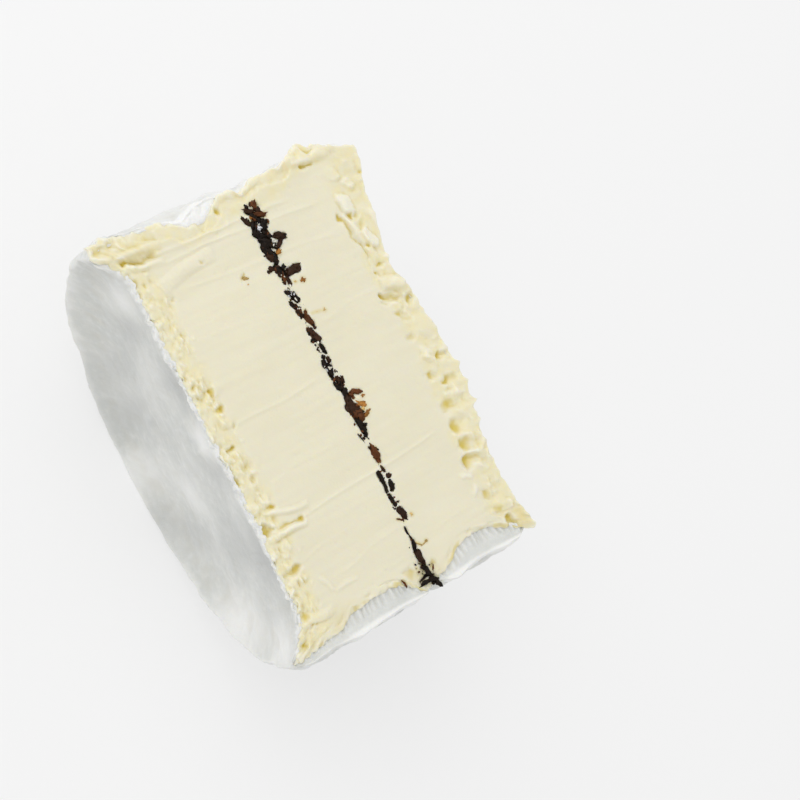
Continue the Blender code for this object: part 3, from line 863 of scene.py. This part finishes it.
def raise_plates(x, y, height):
    """Adds the plates and domes, and returns how pale each leaves its place."""
    pale = np.zeros(len(x))
    x, y = (places / MM for places in bent_places(x, y, PLATE_BENDS))
    for place_x, place_y, degrees, half_length, half_width, top, flat in PLATES:
        near, along, across = oblong_places(x, y, place_x, place_y, math.radians(degrees),
                                            half_length + 1)
        out = (np.abs(along / half_length) ** 2.5 + np.abs(across / half_width) ** 2.5) ** 0.4
        rise = 1 - ease(flat, 1.0, out)
        height[near] += 0.7 * top * MM * rise * (1 - 0.4 * across / half_width)
        pale[near] = np.maximum(pale[near], rise * flat)
    return height, pale


def carve_scoops(x, y, height):
    """Takes the scoops out of the face, and returns the painted golden shade at each one's deep
    end.
    """
    ripe_and_golden_shade = np.zeros(len(x))
    x, y = (places / MM for places in bent_places(x, y, SCOOP_BENDS))
    for place_x, place_y, degrees, length, half, depth in SCOOPS:
        near, along, across = oblong_places(x, y, place_x, place_y, math.radians(degrees),
                                            length + half)
        ahead = np.maximum(-along, 0.0) / half
        bowl = np.clip(1 - (across / half) ** 2 - ahead ** 2, 0.0, 1.0)
        share = along / length
        fade = (1 - 0.6 * np.clip(share, 0.0, 1.0)) * (1 - ease(0.7, 1.0, share))
        height[near] -= 1.1 * depth * MM * bowl ** 1.2 * fade
        # Painted golden shade at the scoop's deep end, stronger for deeper scoops.
        golden = bowl ** 1.8 * (1 - ease(0.0, 0.4, share)) * min(2 * depth, 1.0)
        ripe_and_golden_shade[near] = np.maximum(ripe_and_golden_shade[near], golden)
    return height, ripe_and_golden_shade


def raise_rolls(x, y, height):
    """Soft rolls along bent lines."""
    for start, end, radius, top, bend in ROLLS:
        along = Vector(end) - Vector(start)
        side = Vector((-along.y, along.x)) * bend
        best = np.full(len(x), 1.0)
        hump_at_best = np.zeros(len(x))
        for step in range(17):
            share = step / 16
            arch = math.sin(math.pi * share)
            place = Vector(start) + along * share + side * arch
            distance = np.hypot(x - place.x, y - place.y)
            closer = distance < best
            best[closer] = distance[closer]
            hump_at_best[closer] = arch ** 0.5
        inside = best < radius
        rise = top * hump_at_best[inside] * (1 - (best[inside] / radius) ** 2) ** 0.6
        height[inside] = np.maximum(height[inside], 0.0) + rise
    return height


# Thin ridges that the blade left across the face: x where they start and end, y range, height
BLADE_LINES = (
    (-0.0030, -0.0037, -0.017, 0.0014, 0.00016),
    (0.0169, 0.0143, -0.0185, 0.0194, 0.00022),
    (-0.0280, -0.0255, -0.0144, 0.0178, 0.00012),
    (-0.0335, -0.0322, -0.020, 0.018, 0.00020),
    (-0.0352, -0.0345, -0.018, 0.012, 0.00022),
    (0.0285, 0.0262, -0.012, 0.003, 0.00010),
    (-0.0125, -0.0140, 0.006, 0.019, 0.00009),
    (0.0232, 0.0215, -0.017, -0.004, 0.00008),
    (0.0085, 0.0075, -0.016, -0.002, 0.00007),
    (-0.0190, -0.0178, -0.018, -0.001, 0.00007),
    (0.0305, 0.0290, 0.008, 0.020, 0.00008),
)
BLADE_LINE_WIDTH = 0.00026

SMALL_DENTS = 110


def face_relief(x, y, dents):
    """Height of the cut face over its plane, away from its torn edges."""
    height = np.zeros(len(x))
    for x_start, x_end, y_low, y_high, ridge in BLADE_LINES:
        share = np.clip((y - y_low) / (y_high - y_low), 0.0, 1.0)
        line = x_start + (x_end - x_start) * share + 0.00025 * np.sin(share * 7 + x_start * 900)
        fade = ease(0.0, 0.12, share) * (1 - ease(0.88, 1.0, share))
        height += ridge * fade * hump(line, BLADE_LINE_WIDTH, x)
    for dent_x, dent_y, width, depth in dents:
        height -= depth * hump(0.0, width, np.hypot(x - dent_x, y - dent_y))
    height += 0.00006 * plane_noise(x / 0.09, y, 0.012)
    height += 0.00009 * plane_noise(x, y, 0.006, 3, 4.0)
    return height


# Colours of the truffle's bits
BLACK = (0.008, 0.005, 0.003)
DARK_BROWN = (0.034, 0.014, 0.006)
BROWN = (0.110, 0.036, 0.010)
AMBER = (0.380, 0.165, 0.035)
TAN = (0.620, 0.430, 0.160)
CREAM = (0.830, 0.790, 0.650)
# GLINT is a painted highlight: a blue-white grain where the truffle shines.
GLINT = (0.780, 0.800, 0.820)
TRUFFLE_TONES = (BLACK, DARK_BROWN, BROWN)
# Bits of truffle on the cut face in millimetres, with one GLINT bit as a painted highlight: x and
# y of both ends, or of the middle of a round one, half width and colour
STROKES = (
    (-35.8, 2.7, -35.0, 3.6, 0.35, DARK_BROWN), (-36.5, 4.8, -35.6, 4.4, 0.3, BROWN),
    (-34.4, 4.0, -33.9, 5.5, 0.35, BROWN), (-34.2, 3.0, 0.25, AMBER),
    (-32.5, 4.8, -31.7, 4.1, 0.55, BLACK), (-32.9, 3.2, -31.2, 2.3, 0.45, BLACK),
    # The GLINT bit on the next line is a painted highlight.
    (-30.9, 2.7, -30.3, 3.8, 0.5, BLACK), (-32.0, 3.5, 0.4, GLINT),
    (-30.0, 3.1, -28.7, 3.8, 0.75, BLACK), (-29.6, 5.8, -29.1, 7.0, 0.55, DARK_BROWN),
    (-28.4, 6.1, -27.6, 5.0, 0.3, DARK_BROWN), (-29.1, 4.8, 0.22, CREAM), (-28.1, 4.6, 0.3, CREAM),
    (-28.6, 2.8, -27.1, 3.3, 0.65, BLACK), (-26.8, 4.8, 0.45, AMBER),
    (-26.7, 2.8, -25.7, 3.7, 0.45, DARK_BROWN), (-24.6, 3.1, -23.3, 3.6, 0.5, BLACK),
    (-22.9, 4.8, -23.0, 6.7, 0.7, DARK_BROWN), (-23.2, 3.7, -21.5, 3.4, 0.22, BROWN),
    (-22.4, 4.2, -20.8, 4.2, 0.25, DARK_BROWN), (-20.6, 6.6, 0.42, AMBER), (-20.9, 5.2, 0.2, TAN),
    (-19.9, 2.8, -18.9, 3.7, 0.35, BLACK), (-18.9, 3.7, -17.6, 4.0, 0.4, BLACK),
    (-17.7, 2.7, -16.7, 3.0, 0.3, BLACK), (-15.9, 3.1, -14.8, 3.7, 0.3, DARK_BROWN),
    (-15.4, 4.4, -14.6, 4.2, 0.25, BROWN), (-14.6, 5.5, -14.3, 7.2, 0.07, TAN),
    (-14.2, 7.8, 0.28, TAN), (-25.0, -2.9, 0.33, TAN), (-23.9, -3.0, 0.14, TAN),
    (-14.3, 4.1, -12.8, 4.7, 0.42, BROWN), (-12.1, 4.7, 0.25, DARK_BROWN),
    (-12.2, 3.5, -10.4, 4.2, 0.52, DARK_BROWN), (-10.2, 3.4, 0.24, BLACK),
    (-9.2, 4.2, -7.2, 4.5, 0.28, BLACK), (-6.8, 3.7, 0.33, BLACK),
    (-5.9, 3.3, -5.3, 3.2, 0.38, BLACK), (-6.2, 4.4, -5.4, 4.3, 0.25, DARK_BROWN),
    (-4.8, 4.0, -3.3, 3.6, 0.42, BLACK), (-2.6, 3.5, 0.25, BLACK),
    (-2.3, 4.3, -1.1, 4.5, 0.33, DARK_BROWN), (-1.6, 3.5, -0.3, 4.0, 0.33, BLACK),
    (-0.0, 4.4, 1.2, 4.5, 0.42, BLACK), (1.2, 4.5, 2.6, 4.2, 0.45, DARK_BROWN),
    (1.4, 5.4, 0.42, BROWN), (1.1, 6.0, 1.7, 7.0, 0.35, BROWN), (2.5, 7.2, 0.3, AMBER),
    (2.1, 5.4, 0.25, BROWN), (3.3, 4.2, 4.3, 4.8, 1.0, DARK_BROWN),
    (4.7, 4.7, 5.7, 4.7, 0.9, BROWN), (3.5, 6.0, 4.4, 6.8, 0.4, AMBER),
    (5.4, 7.0, 5.8, 6.2, 0.35, AMBER), (4.6, 6.2, 0.3, TAN), (6.3, 4.4, 8.7, 4.7, 0.5, BLACK),
    (7.4, 5.2, 0.3, BLACK), (8.3, 3.2, 9.9, 3.6, 0.1, BLACK), (12.0, 4.6, 13.6, 4.6, 0.55, BROWN),
    (11.3, 4.0, 11.6, 4.2, 0.2, DARK_BROWN), (14.2, 4.5, 0.4, BROWN),
    (15.4, 4.4, 16.4, 4.7, 0.24, DARK_BROWN), (17.5, 5.0, 0.4, DARK_BROWN),
    (16.2, 3.4, 18.5, 3.6, 0.36, BLACK), (18.5, 3.6, 19.8, 3.3, 0.22, BLACK),
    (17.5, 5.0, 0.4, DARK_BROWN), (18.7, 4.7, 19.9, 4.6, 0.38, BLACK), (19.3, 5.2, 0.15, BLACK),
    (20.7, 3.5, 22.5, 3.6, 0.3, BLACK), (22.4, 4.4, 0.2, DARK_BROWN),
    (23.3, 3.3, 0.18, DARK_BROWN), (23.8, 4.1, 25.4, 4.4, 0.5, DARK_BROWN), (25.6, 5.6, 0.33, TAN),
    (25.1, 2.8, 26.0, 3.9, 0.12, BROWN), (27.2, 3.4, 28.4, 3.4, 0.2, BLACK),
    (28.7, 3.5, 29.6, 3.6, 0.14, BLACK), (29.9, 3.7, 31.7, 3.3, 0.28, BLACK),
    (32.2, 3.5, 34.1, 3.6, 0.45, DARK_BROWN), (34.9, 2.9, 35.5, 3.6, 0.22, BLACK),
    (35.6, 3.5, 36.6, 3.8, 0.38, BLACK), (30.5, 3.9, 31.5, 4.9, 0.1, TAN),
    (31.5, 4.9, 31.3, 5.9, 0.1, TAN), (31.2, 6.0, 0.22, TAN), (35.6, 5.2, 36.5, 4.7, 0.12, BROWN),
    (37.8, 1.7, 37.7, 3.5, 0.3, BLACK), (37.7, 3.5, 38.2, 4.5, 0.4, BLACK),
    (38.4, 4.4, 39.5, 4.8, 0.35, BLACK), (38.6, 3.7, 0.25, BLACK),
    (35.5, -1.5, 36.6, -1.2, 0.16, BROWN), (35.5, 2.1, 0.18, BROWN),
)
GROOVE_DEPTH = 0.0008
STAIN_REACH = 0.35


def groove_share(x, y):
    """1 in the grooves that the truffle lies in, and how stained the paste round it is."""
    share = np.zeros(len(x))
    stain = np.zeros(len(x))
    x, y = bent_places(x, y, GROOVE_BENDS)
    near = np.flatnonzero(np.abs(y - LAYER_OFFSET) < 0.006)
    for start_x, start_y, *end, half, color in STROKES:
        start = (start_x, start_y)
        away = segment_distance(x[near] / MM, y[near] / MM, start, end or start)
        if color in TRUFFLE_TONES:
            share[near] = np.maximum(share[near], 1 - ease(half - 0.2, half + 0.04, away))
        if color in (BROWN, AMBER, TAN):
            stain[near] = np.maximum(stain[near], 0.5 * hump(0.0, half + STAIN_REACH, away))
    return share, stain


CRUMBLE = 0.0010
CRUMBLE_SIZE = 0.0025
PASTE_FLOOR = 0.0014


def paste_heights(x, y, real_x, real_y, draw):
    """Height of the paste over the cut plane, and how torn, pale and stained it is, with its ripe
    tints and painted golden shade.
    """
    dents = []
    for _ in range(SMALL_DENTS):
        dents.append((draw.uniform(-0.034, 0.034), draw.uniform(-0.018, 0.020),
                      draw.uniform(0.15, 0.30) * MM, draw.uniform(0.05, 0.14) * MM))
    wander = 1 + 0.45 * plane_noise(x, y, 0.005, 2, 7.0)
    torn = np.zeros(len(x))
    floor = np.zeros(len(x))
    for border, depth, *_ in BANDS:
        inside = border_distance(border, x, y) / (depth * wander)
        share = 1 - ease(0.65, 1.05, inside)
        torn = np.maximum(torn, share)
        floor = np.minimum(floor, -BAND_FLOOR[border] * share)
    height = raise_flakes(x, y, floor, draw_flakes(draw))
    height = raise_lumps(x, y, height, draw)
    crumble = (0.9 * plane_noise(x, y, CRUMBLE_SIZE, 3, 51.0)
               + 0.8 * np.abs(plane_noise(x, y, 0.7 * CRUMBLE_SIZE, 2, 57.0)) - 0.2)
    crumble *= ease(-0.5, 0.4, plane_noise(x, y, 0.0045, 2, 53.0))
    near_share = 1 - ease(0.6, 1.0, border_distance("near", x, y) / (0.0074 * wander))
    far_share = 1 - ease(0.6, 1.0, border_distance("far", x, y) / (0.0060 * wander))
    height += CRUMBLE * crumble * np.maximum(near_share, 0.3 * far_share)
    height = raise_rolls(real_x, real_y, height)
    height, pale = raise_plates(real_x, real_y, height)
    height, ripe_and_golden_shade = carve_scoops(real_x, real_y, height)
    height += face_relief(real_x, real_y, dents)
    height += torn * 0.00005 * plane_noise(x, y, 0.0006, 2, 9.0)
    groove, stain = groove_share(real_x, real_y)
    height = np.maximum(height, -PASTE_FLOOR) - GROOVE_DEPTH * groove
    torn *= ease(0.0, 0.0006, table_value(PASTE_END, y) - x)
    patchy = 0.8 + 0.5 * plane_noise(x, y, 0.0025, 2, 91.0)
    for smear_x, smear_y, half_length, half_width, strength in SMEARS:
        away = np.hypot((real_x - smear_x) / half_length, (real_y - smear_y) / half_width)
        ripe_and_golden_shade = np.maximum(ripe_and_golden_shade, strength * patchy * hump(0.0, 0.9, away))
    browned = 0.7 * ease(0.0384, 0.0396, x) * ease(-0.3, 0.5, plane_noise(x, y, 0.002, 2, 81.0))
    # The ripe tints of smears, stains and the +X edge join the painted golden shade of the scoops.
    ripe_and_golden_shade = np.maximum(np.maximum(ripe_and_golden_shade, stain), browned)
    marks = {"torn": torn, "ripe_and_golden_shade": ripe_and_golden_shade, "pale": pale, "groove": groove}
    return height, marks


# The paste's rolled-over edge: how far out and how far down each ring goes
SKIRT = ((0.16, 0.10), (0.30, 0.32), (0.34, 0.62), (0.16, 1.0), (-0.5, 1.5), (-1.4, 2.2))
SKIRT_CORNER = 0.0008
# Teeth along the torn edges: edge, how far apart and how long
EDGE_TEETH = (
    ("near", 0.0017, 0.0006), ("far", 0.0032, 0.0005), ("start", 0.0024, 0.00055),
    ("end", 0.0018, 0.0004),
)
TEETH_REACH = 0.0030
# Points that stand out of the far edge: x, how far out and half width
FAR_POINTS = (
    (-0.0180, 0.0004, 0.0005), (-0.0024, 0.0005, 0.0008), (0.0054, 0.0007, 0.0005),
    (0.0090, 0.0005, 0.0005), (0.0131, 0.0016, 0.0004), (0.0166, 0.0006, 0.0004),
    (0.0205, 0.0005, 0.0005), (0.0392, 0.0007, 0.0005),
)
POINTS_REACH = 0.0016


def paste_material(settings):
    made = Nodes("cut paste")
    hollow = made.attribute("hollow")
    cloudy = made.grain(70.0, 3.0)
    patchy = made.grain(520.0, 3.0, 0.6)
    streaks = made.grain(260.0, 3.0, 0.55, stretch=(1.0, 0.12, 1.0))
    dull = tuple(c * 0.97 for c in settings.color)
    tint = made.mix(made.between(cloudy, 0.3, 0.7), dull, settings.color)
    tint = made.coats(tint, (streaks, 0.4, 0.75, 0.25, settings.pale))
    yellow = made.tree.nodes.new("ShaderNodeMath")
    yellow.operation = "MULTIPLY"
    made.set(yellow, 0, made.between(patchy, 0.38, 0.62, 0.25, 1.0))
    made.set(yellow, 1, made.attribute("torn"))
    tint = made.coats(
        made.mix(yellow.outputs[0], tint, settings.edge),
        # Paler on crests: painted highlight.
        (hollow, -0.2, -1.7, 0.85, settings.pale),
        # Golden in hollows: painted golden shade.
        (hollow, 0.3, 2.4, 0.8, settings.ripe_and_golden_shade),
        (made.attribute("pale"), 0.0, 1.0, 0.9, settings.pale),
        # Ripe tints of smears, stains and the +X edge, with painted golden shade at the deep ends
        # of scoops.
        (made.attribute("ripe_and_golden_shade"), 0.1, 1.0, 0.85, settings.ripe_and_golden_shade),
        (made.attribute("groove"), 0.2, 0.8, 1.0, DARK_BROWN),
    )
    drag = made.bump(made.grain(900.0, 3.0, 0.5, stretch=(1.0, 0.08, 1.0)), 0.00007, 0.7)
    fine = made.bump(made.grain(2600.0, 3.0, 0.6), 0.00006, 0.6, drag)
    return made.finish(
        Base_Color=tint, Roughness=made.between(streaks, 0.3, 0.7, 0.40, 0.55), Normal=fine,
        Subsurface_Weight=0.35, Subsurface_Radius=(1.0, 0.8, 0.4), Subsurface_Scale=0.0011,
        Specular_IOR_Level=0.4)


def add_paste_sheet(shape, settings):
    """The paste's top as a fine grid, closed below by a rolled-over edge."""
    across = int(2 * CUT_HALF_LENGTH / settings.spacing)
    along = int(2 * HALF_WIDTH / settings.spacing)
    bmesh.ops.create_grid(shape, x_segments=across, y_segments=along, size=1.0,
                          matrix=Matrix.Diagonal((CUT_HALF_LENGTH, HALF_WIDTH, 1.0, 1.0)))
    rim = [edge for edge in shape.edges if edge.is_boundary]
    out_before, down_before = 0.0, 0.0
    for out, down in SKIRT:
        grown = bmesh.ops.extrude_edge_only(shape, edges=rim)
        points = [item for item in grown["geom"] if isinstance(item, bmesh.types.BMVert)]
        rim = [item for item in grown["geom"] if isinstance(item, bmesh.types.BMEdge)
               and item.is_boundary]
        for point in points:
            on_x = smooth_step(CUT_HALF_LENGTH - SKIRT_CORNER, CUT_HALF_LENGTH, abs(point.co.x))
            on_y = smooth_step(HALF_WIDTH - SKIRT_CORNER, HALF_WIDTH, abs(point.co.y))
            outwards = Vector((math.copysign(on_x, point.co.x),
                               math.copysign(on_y, point.co.y), 0.0))
            point.co += outwards * (out - out_before) * MM
            point.co.z -= (down - down_before) * MM
        out_before, down_before = out, down
    bmesh.ops.holes_fill(shape, edges=rim)
    bmesh.ops.recalc_face_normals(shape, faces=shape.faces)


def tear_edges(places, x, y, below):
    """Draws the sheet's edges in to their real line, and gives them teeth and points."""
    shift_x, shift_y = paste_shift(x, y)
    places[:, 0] += shift_x
    places[:, 1] += shift_y
    shallow = 1 - ease(0.0002, 0.0016, below)
    for border, size, teeth in EDGE_TEETH:
        axis, side = BORDERS[border]
        share = (1 - ease(0.0, TEETH_REACH, border_distance(border, x, y))) * shallow
        tooth = 1 - np.abs(plane_noise(x, y, size, 2, 3.0))
        places[:, axis] += side * teeth * (tooth - 0.7) * 2 * share
    share = (1 - ease(0.0, POINTS_REACH, border_distance("far", x, y))) * shallow
    for along, out, half in FAR_POINTS:
        places[:, 1] += out * share ** 2 * hump(along, half, x)


class CHEESE_OT_paste(Operator):
    """Models the cut paste with its blade marks, the truffle's groove and the torn border"""
    bl_idname = "cheese.paste"
    bl_label = "Paste"

    def execute(self, context):
        settings = context.scene.cheese_paste
        draw = random.Random(settings.seed)
        shape = bmesh.new()
        add_paste_sheet(shape, settings)
        paste = object_from("paste", shape)
        mesh = paste.data
        places = read_rows(mesh.vertices).astype(np.float64)
        x, y, below = places[:, 0].copy(), places[:, 1].copy(), -places[:, 2]
        height, marks = paste_heights(x, y, *face_places(x, y), draw)
        places[:, 2] = CUT_HEIGHT - below + height * (1 - ease(0.0, 0.0012, below))
        tear_edges(places, x, y, below)
        write_places(mesh, [weathered(Vector(place)) for place in places.tolist()])
        for name, values in marks.items():
            store(mesh, name, values)
        soften(mesh, 2)
        mark_hollows(mesh, *PASTE_HOLLOWS)
        dress(paste, paste_material(settings), "cheese")
        return {"FINISHED"}


SIDE_SPECKS = 34
SPECK_SIZES = (0.25, 0.8)
SPECK_SPREAD = 1.6
LOWEST_SPECK = 0.004
DARK_CRUMBS = (BLACK, BLACK, DARK_BROWN, BROWN)
# Cream crumbs, and GLINT grains that are painted highlights.
PALE_CRUMBS_AND_GLINTS = (CREAM, CREAM, GLINT)
# Small crumbs along the cut of the layer, the pale ones with painted glints: from x, to x, how
# many, spread, sizes and colours
CRUMB_STRETCHES = (
    (-0.0365, -0.0225, 46, 0.0009, (0.15, 0.50), DARK_CRUMBS),
    (-0.0225, -0.0030, 64, 0.0005, (0.10, 0.30), DARK_CRUMBS),
    (-0.0030, 0.0100, 30, 0.0006, (0.12, 0.35), DARK_CRUMBS),
    (0.0120, 0.0370, 56, 0.0005, (0.07, 0.20), DARK_CRUMBS),
    (-0.0235, -0.0040, 20, 0.0004, (0.08, 0.17), PALE_CRUMBS_AND_GLINTS),
)


def add_grain(shape, colors, centre, sizes, heading, color, draw, subdivisions=2, rough=0.5,
              tilt=0.5):
    """One rough crumb, whose colour is kept for each of its vertices."""
    template = bmesh.new()
    bmesh.ops.create_icosphere(template, subdivisions=subdivisions, radius=1.0)
    paint = template.verts.layers.float_color.new(colors)
    shift = Vector((draw.uniform(0, 50), 0.0, 0.0))
    place = (Matrix.Translation(centre) @ Matrix.Rotation(heading, 4, "Z")
             @ Matrix.Rotation(draw.uniform(-tilt, tilt), 4, "Y")
             @ Matrix.Rotation(draw.uniform(-tilt, tilt), 4, "X")
             @ Matrix.Diagonal((*sizes, 1.0)))
    tone = draw.uniform(0.75, 1.3)
    for vertex in template.verts:
        knob = (noise.noise(vertex.co * 1.8 + shift) + 0.5 * noise.noise(vertex.co * 4 + shift)
                + 0.35 * noise.noise(vertex.co * 8 - shift))
        shade = tone * (1 + 0.5 * noise.noise(vertex.co * 2.5 - shift))
        vertex.co = place @ (vertex.co * (1 + rough * knob))
        vertex[paint] = (*(min(1.0, max(0.0, c * shade)) for c in color), 1.0)
    mesh = bpy.data.meshes.new("grain")
    template.to_mesh(mesh)
    template.free()
    shape.from_mesh(mesh)
    bpy.data.meshes.remove(mesh)


def layer_slab(top):
    """The part of a disc across the wheel that the truffle fills."""
    shape = bmesh.new()
    turn = Matrix.Translation((0.0, 0.0, AXIS_HEIGHT)) @ Matrix.Rotation(math.pi / 2, 4, "X")
    bmesh.ops.create_circle(shape, cap_ends=True, segments=72, radius=LAYER_RADIUS, matrix=turn)
    cut_by_plane(shape, (0.0, 0.0, top), (0.0, 0.0, 1.0))
    cuts = 14
    for step in range(1, cuts):
        x = CUT_HALF_LENGTH * (2 * step / cuts - 1)
        cut_by_plane(shape, (x, 0.0, 0.0), (1.0, 0.0, 0.0), clear=False)
    grown = bmesh.ops.extrude_face_region(shape, geom=shape.faces[:])
    far_side = {item for item in grown["geom"] if isinstance(item, bmesh.types.BMVert)}
    for vertex in shape.verts:
        side = 1 if vertex in far_side else -1
        half = slot_thickness(vertex.co.x) / 2
        vertex.co.y = layer_middle(vertex.co.x) + side * half
    bmesh.ops.recalc_face_normals(shape, faces=shape.faces)
    return shape


def truffle_material():
    made = Nodes("chopped truffle")
    speckle = made.grain(3000.0, 3.0, 0.6)
    tint = made.coats(made.attribute("grain", "Color"),
                      (speckle, 0.45, 0.8, 0.15, (0.12, 0.06, 0.025)))
    return made.finish(
        Base_Color=tint, Roughness=made.between(speckle, 0.3, 0.7, 0.18, 0.45),
        Specular_IOR_Level=0.13, Normal=made.bump(speckle, 0.0001, 0.7))


def add_stroke(shape, colors, stroke, draw):
    """One bit of truffle on the cut face, with crumbs round it."""
    start_x, start_y, *end, half, color = stroke
    end_x, end_y = end or (start_x, start_y)
    start = Vector((start_x, start_y, 0.0)) * MM
    along = Vector((end_x - start_x, end_y - start_y, 0.0)) * MM
    heading = math.atan2(along.y, along.x)
    middle = start + along / 2 + Vector((0.0, 0.0, CUT_HEIGHT - 0.25 * half * MM))
    sizes = (along.length / 2 + 1.1 * half * MM, 1.2 * half * MM, (0.6 * half + 0.1) * MM)
    add_grain(shape, colors, middle, sizes, heading, color, draw, 3 if half > 0.2 else 2, 0.8,
              0.12)
    if color not in TRUFFLE_TONES:
        return
    for _ in range(int(along.length / MM / 0.5) + 1):
        spot = start + along * draw.random()
        spot += Vector((draw.uniform(-1, 1), draw.uniform(-1, 1), 0.0)) * 0.9 * half * MM
        spot.z = CUT_HEIGHT - draw.uniform(0.0, 0.3) * half * MM
        size = draw.uniform(0.2, 0.5) * half * MM
        crumb = draw.choices((color, BLACK, DARK_BROWN, BROWN), (0.5, 0.2, 0.2, 0.1))[0]
        add_grain(shape, colors, spot, (size * draw.uniform(1.0, 2.0), size, size),
                  draw.uniform(0, 3), crumb, draw)


class CHEESE_OT_truffle(Operator):
    """Models the truffle layer: its dark body and the grains that stand at the cut"""
    bl_idname = "cheese.truffle"
    bl_label = "Truffle layer"

    def execute(self, context):
        settings = context.scene.cheese_truffle
        draw = random.Random(settings.seed)
        shape = layer_slab(CUT_HEIGHT - GROOVE_DEPTH)
        colors = "grain"
        paint = shape.verts.layers.float_color.new(colors)
        for vertex in shape.verts:
            vertex[paint] = (*BLACK, 1.0)
        for stroke in STROKES:
            add_stroke(shape, colors, stroke, draw)
        for low, high, count, spread, sizes, tones in CRUMB_STRETCHES:
            for _ in range(count):
                x = draw.uniform(low, high)
                y = layer_middle(x) + draw.gauss(0.0, spread) - 0.0002
                size = draw.uniform(*sizes) * MM
                # Pale crumbs and painted glints stand a little higher, so they show as flecks.
                height = CUT_HEIGHT + (0.00025 if tones is PALE_CRUMBS_AND_GLINTS else 0.0)
                add_grain(shape, colors, Vector((x, y, height)),
                          (size * draw.uniform(1.0, 2.4), size, 0.6 * size),
                          draw.uniform(-0.7, 0.7), draw.choice(tones), draw, 2, 0.8, 0.2)
        for _ in range(SIDE_SPECKS):
            angle = draw.uniform(math.radians(200), math.radians(340))
            x = WHEEL_RADIUS * math.cos(angle)
            spot = Vector((x, layer_middle(x) + draw.uniform(-SPECK_SPREAD, SPECK_SPREAD) * MM,
                           AXIS_HEIGHT + WHEEL_RADIUS * math.sin(angle)))
            size = draw.uniform(*SPECK_SIZES) * MM
            if spot.z > LOWEST_SPECK:
                add_grain(shape, colors, weathered(spot), (size, size * 0.8, size * 0.6),
                          draw.uniform(0, 3), draw.choice(TRUFFLE_TONES), draw)
        truffle = object_from("truffle", shape)
        dress(truffle, truffle_material(), "truffle_layer")
        return {"FINISHED"}


# The camera's place and directions as fitted to the photo, with the cut plane's centre as zero
CAMERA_FROM_CUT = Vector((-0.01802, -0.08051, 0.21936))
CAMERA_RIGHT = Vector((0.4329, 0.8103, 0.3951))
CAMERA_UP = Vector((-0.8957, 0.4362, 0.0868))
SENSOR_WIDTH = 36.0
CLIP_START = 0.01
FLOOR_HALF_SIZE = 3.0
SOFTBOX_PLACE = (-0.50, -0.10, 0.70)
SOFTBOX_AIM = (0.0, 0.0, 0.03)
SOFTBOX_SIZE = 0.9


def floor_material():
    return Nodes("pale floor").finish(
        Base_Color=(0.50, 0.50, 0.50, 1.0), Emission_Color=(1.0, 1.0, 1.0, 1.0),
        Emission_Strength=0.43, Roughness=0.9, Specular_IOR_Level=0.0)


def add_light(name, place, aim, size, power):
    data = bpy.data.lights.new(name, "AREA")
    data.shape = "DISK"
    data.size = size
    data.energy = power
    light = bpy.data.objects.new(name, data)
    light.location = place
    light.rotation_euler = (Vector(aim) - Vector(place)).to_track_quat("-Z", "Y").to_euler()
    bpy.context.scene.collection.objects.link(light)


class CHEESE_OT_stage(Operator):
    """Adds the pale floor, the soft light and the camera at the photo's angle"""
    bl_idname = "cheese.stage"
    bl_label = "Stage"

    def execute(self, context):
        settings = context.scene.cheese_stage
        shape = bmesh.new()
        bmesh.ops.create_grid(shape, x_segments=1, y_segments=1, size=FLOOR_HALF_SIZE)
        floor = object_from("floor", shape)
        floor.data.materials.append(floor_material())
        world = bpy.data.worlds.new("studio")
        world.use_nodes = True
        back = world.node_tree.nodes["Background"]
        back.inputs["Color"].default_value = (1.0, 1.0, 1.0, 1.0)
        back.inputs["Strength"].default_value = settings.sky
        context.scene.world = world
        add_light("softbox", SOFTBOX_PLACE, SOFTBOX_AIM, SOFTBOX_SIZE, settings.softbox)
        context.scene.view_settings.view_transform = "Standard"
        camera_data = bpy.data.cameras.new("camera")
        camera_data.lens = settings.lens
        camera_data.sensor_width = SENSOR_WIDTH
        camera_data.clip_start = CLIP_START
        camera = bpy.data.objects.new("camera", camera_data)
        right = CAMERA_RIGHT.normalized()
        up = (CAMERA_UP - right * CAMERA_UP.dot(right)).normalized()
        facing = Matrix((right, up, right.cross(up))).transposed().to_4x4()
        place = CAMERA_FROM_CUT + Vector((0.0, 0.0, CUT_HEIGHT))
        camera.matrix_world = Matrix.Translation(place) @ facing
        context.scene.collection.objects.link(camera)
        context.scene.camera = camera
        return {"FINISHED"}


class CHEESE_PT_sidebar(Panel):
    """Lists the pieces of the cheese in the sidebar"""
    bl_label = "Half truffle cheese"
    bl_space_type = "VIEW_3D"
    bl_region_type = "UI"
    bl_category = "Cheese"

    def draw(self, context):
        for operator in OPERATORS:
            self.layout.operator(operator.bl_idname)


SETTINGS = {
    "cheese_rind": RindSettings,
    "cheese_paste": PasteSettings,
    "cheese_truffle": TruffleSettings,
    "cheese_stage": StageSettings,
}
OPERATORS = (CHEESE_OT_rind, CHEESE_OT_paste, CHEESE_OT_truffle, CHEESE_OT_stage)


def register():
    for settings in SETTINGS.values():
        bpy.utils.register_class(settings)
    for operator in OPERATORS:
        bpy.utils.register_class(operator)
    bpy.utils.register_class(CHEESE_PT_sidebar)
    for name, settings in SETTINGS.items():
        setattr(bpy.types.Scene, name, PointerProperty(type=settings))


def unregister():
    for name in SETTINGS:
        delattr(bpy.types.Scene, name)
    bpy.utils.unregister_class(CHEESE_PT_sidebar)
    for operator in reversed(OPERATORS):
        bpy.utils.unregister_class(operator)
    for settings in SETTINGS.values():
        bpy.utils.unregister_class(settings)


def main():
    register()
    bpy.ops.cheese.rind()
    bpy.ops.cheese.paste()
    bpy.ops.cheese.truffle()
    bpy.ops.cheese.stage()


if __name__ == "__main__":
    main()
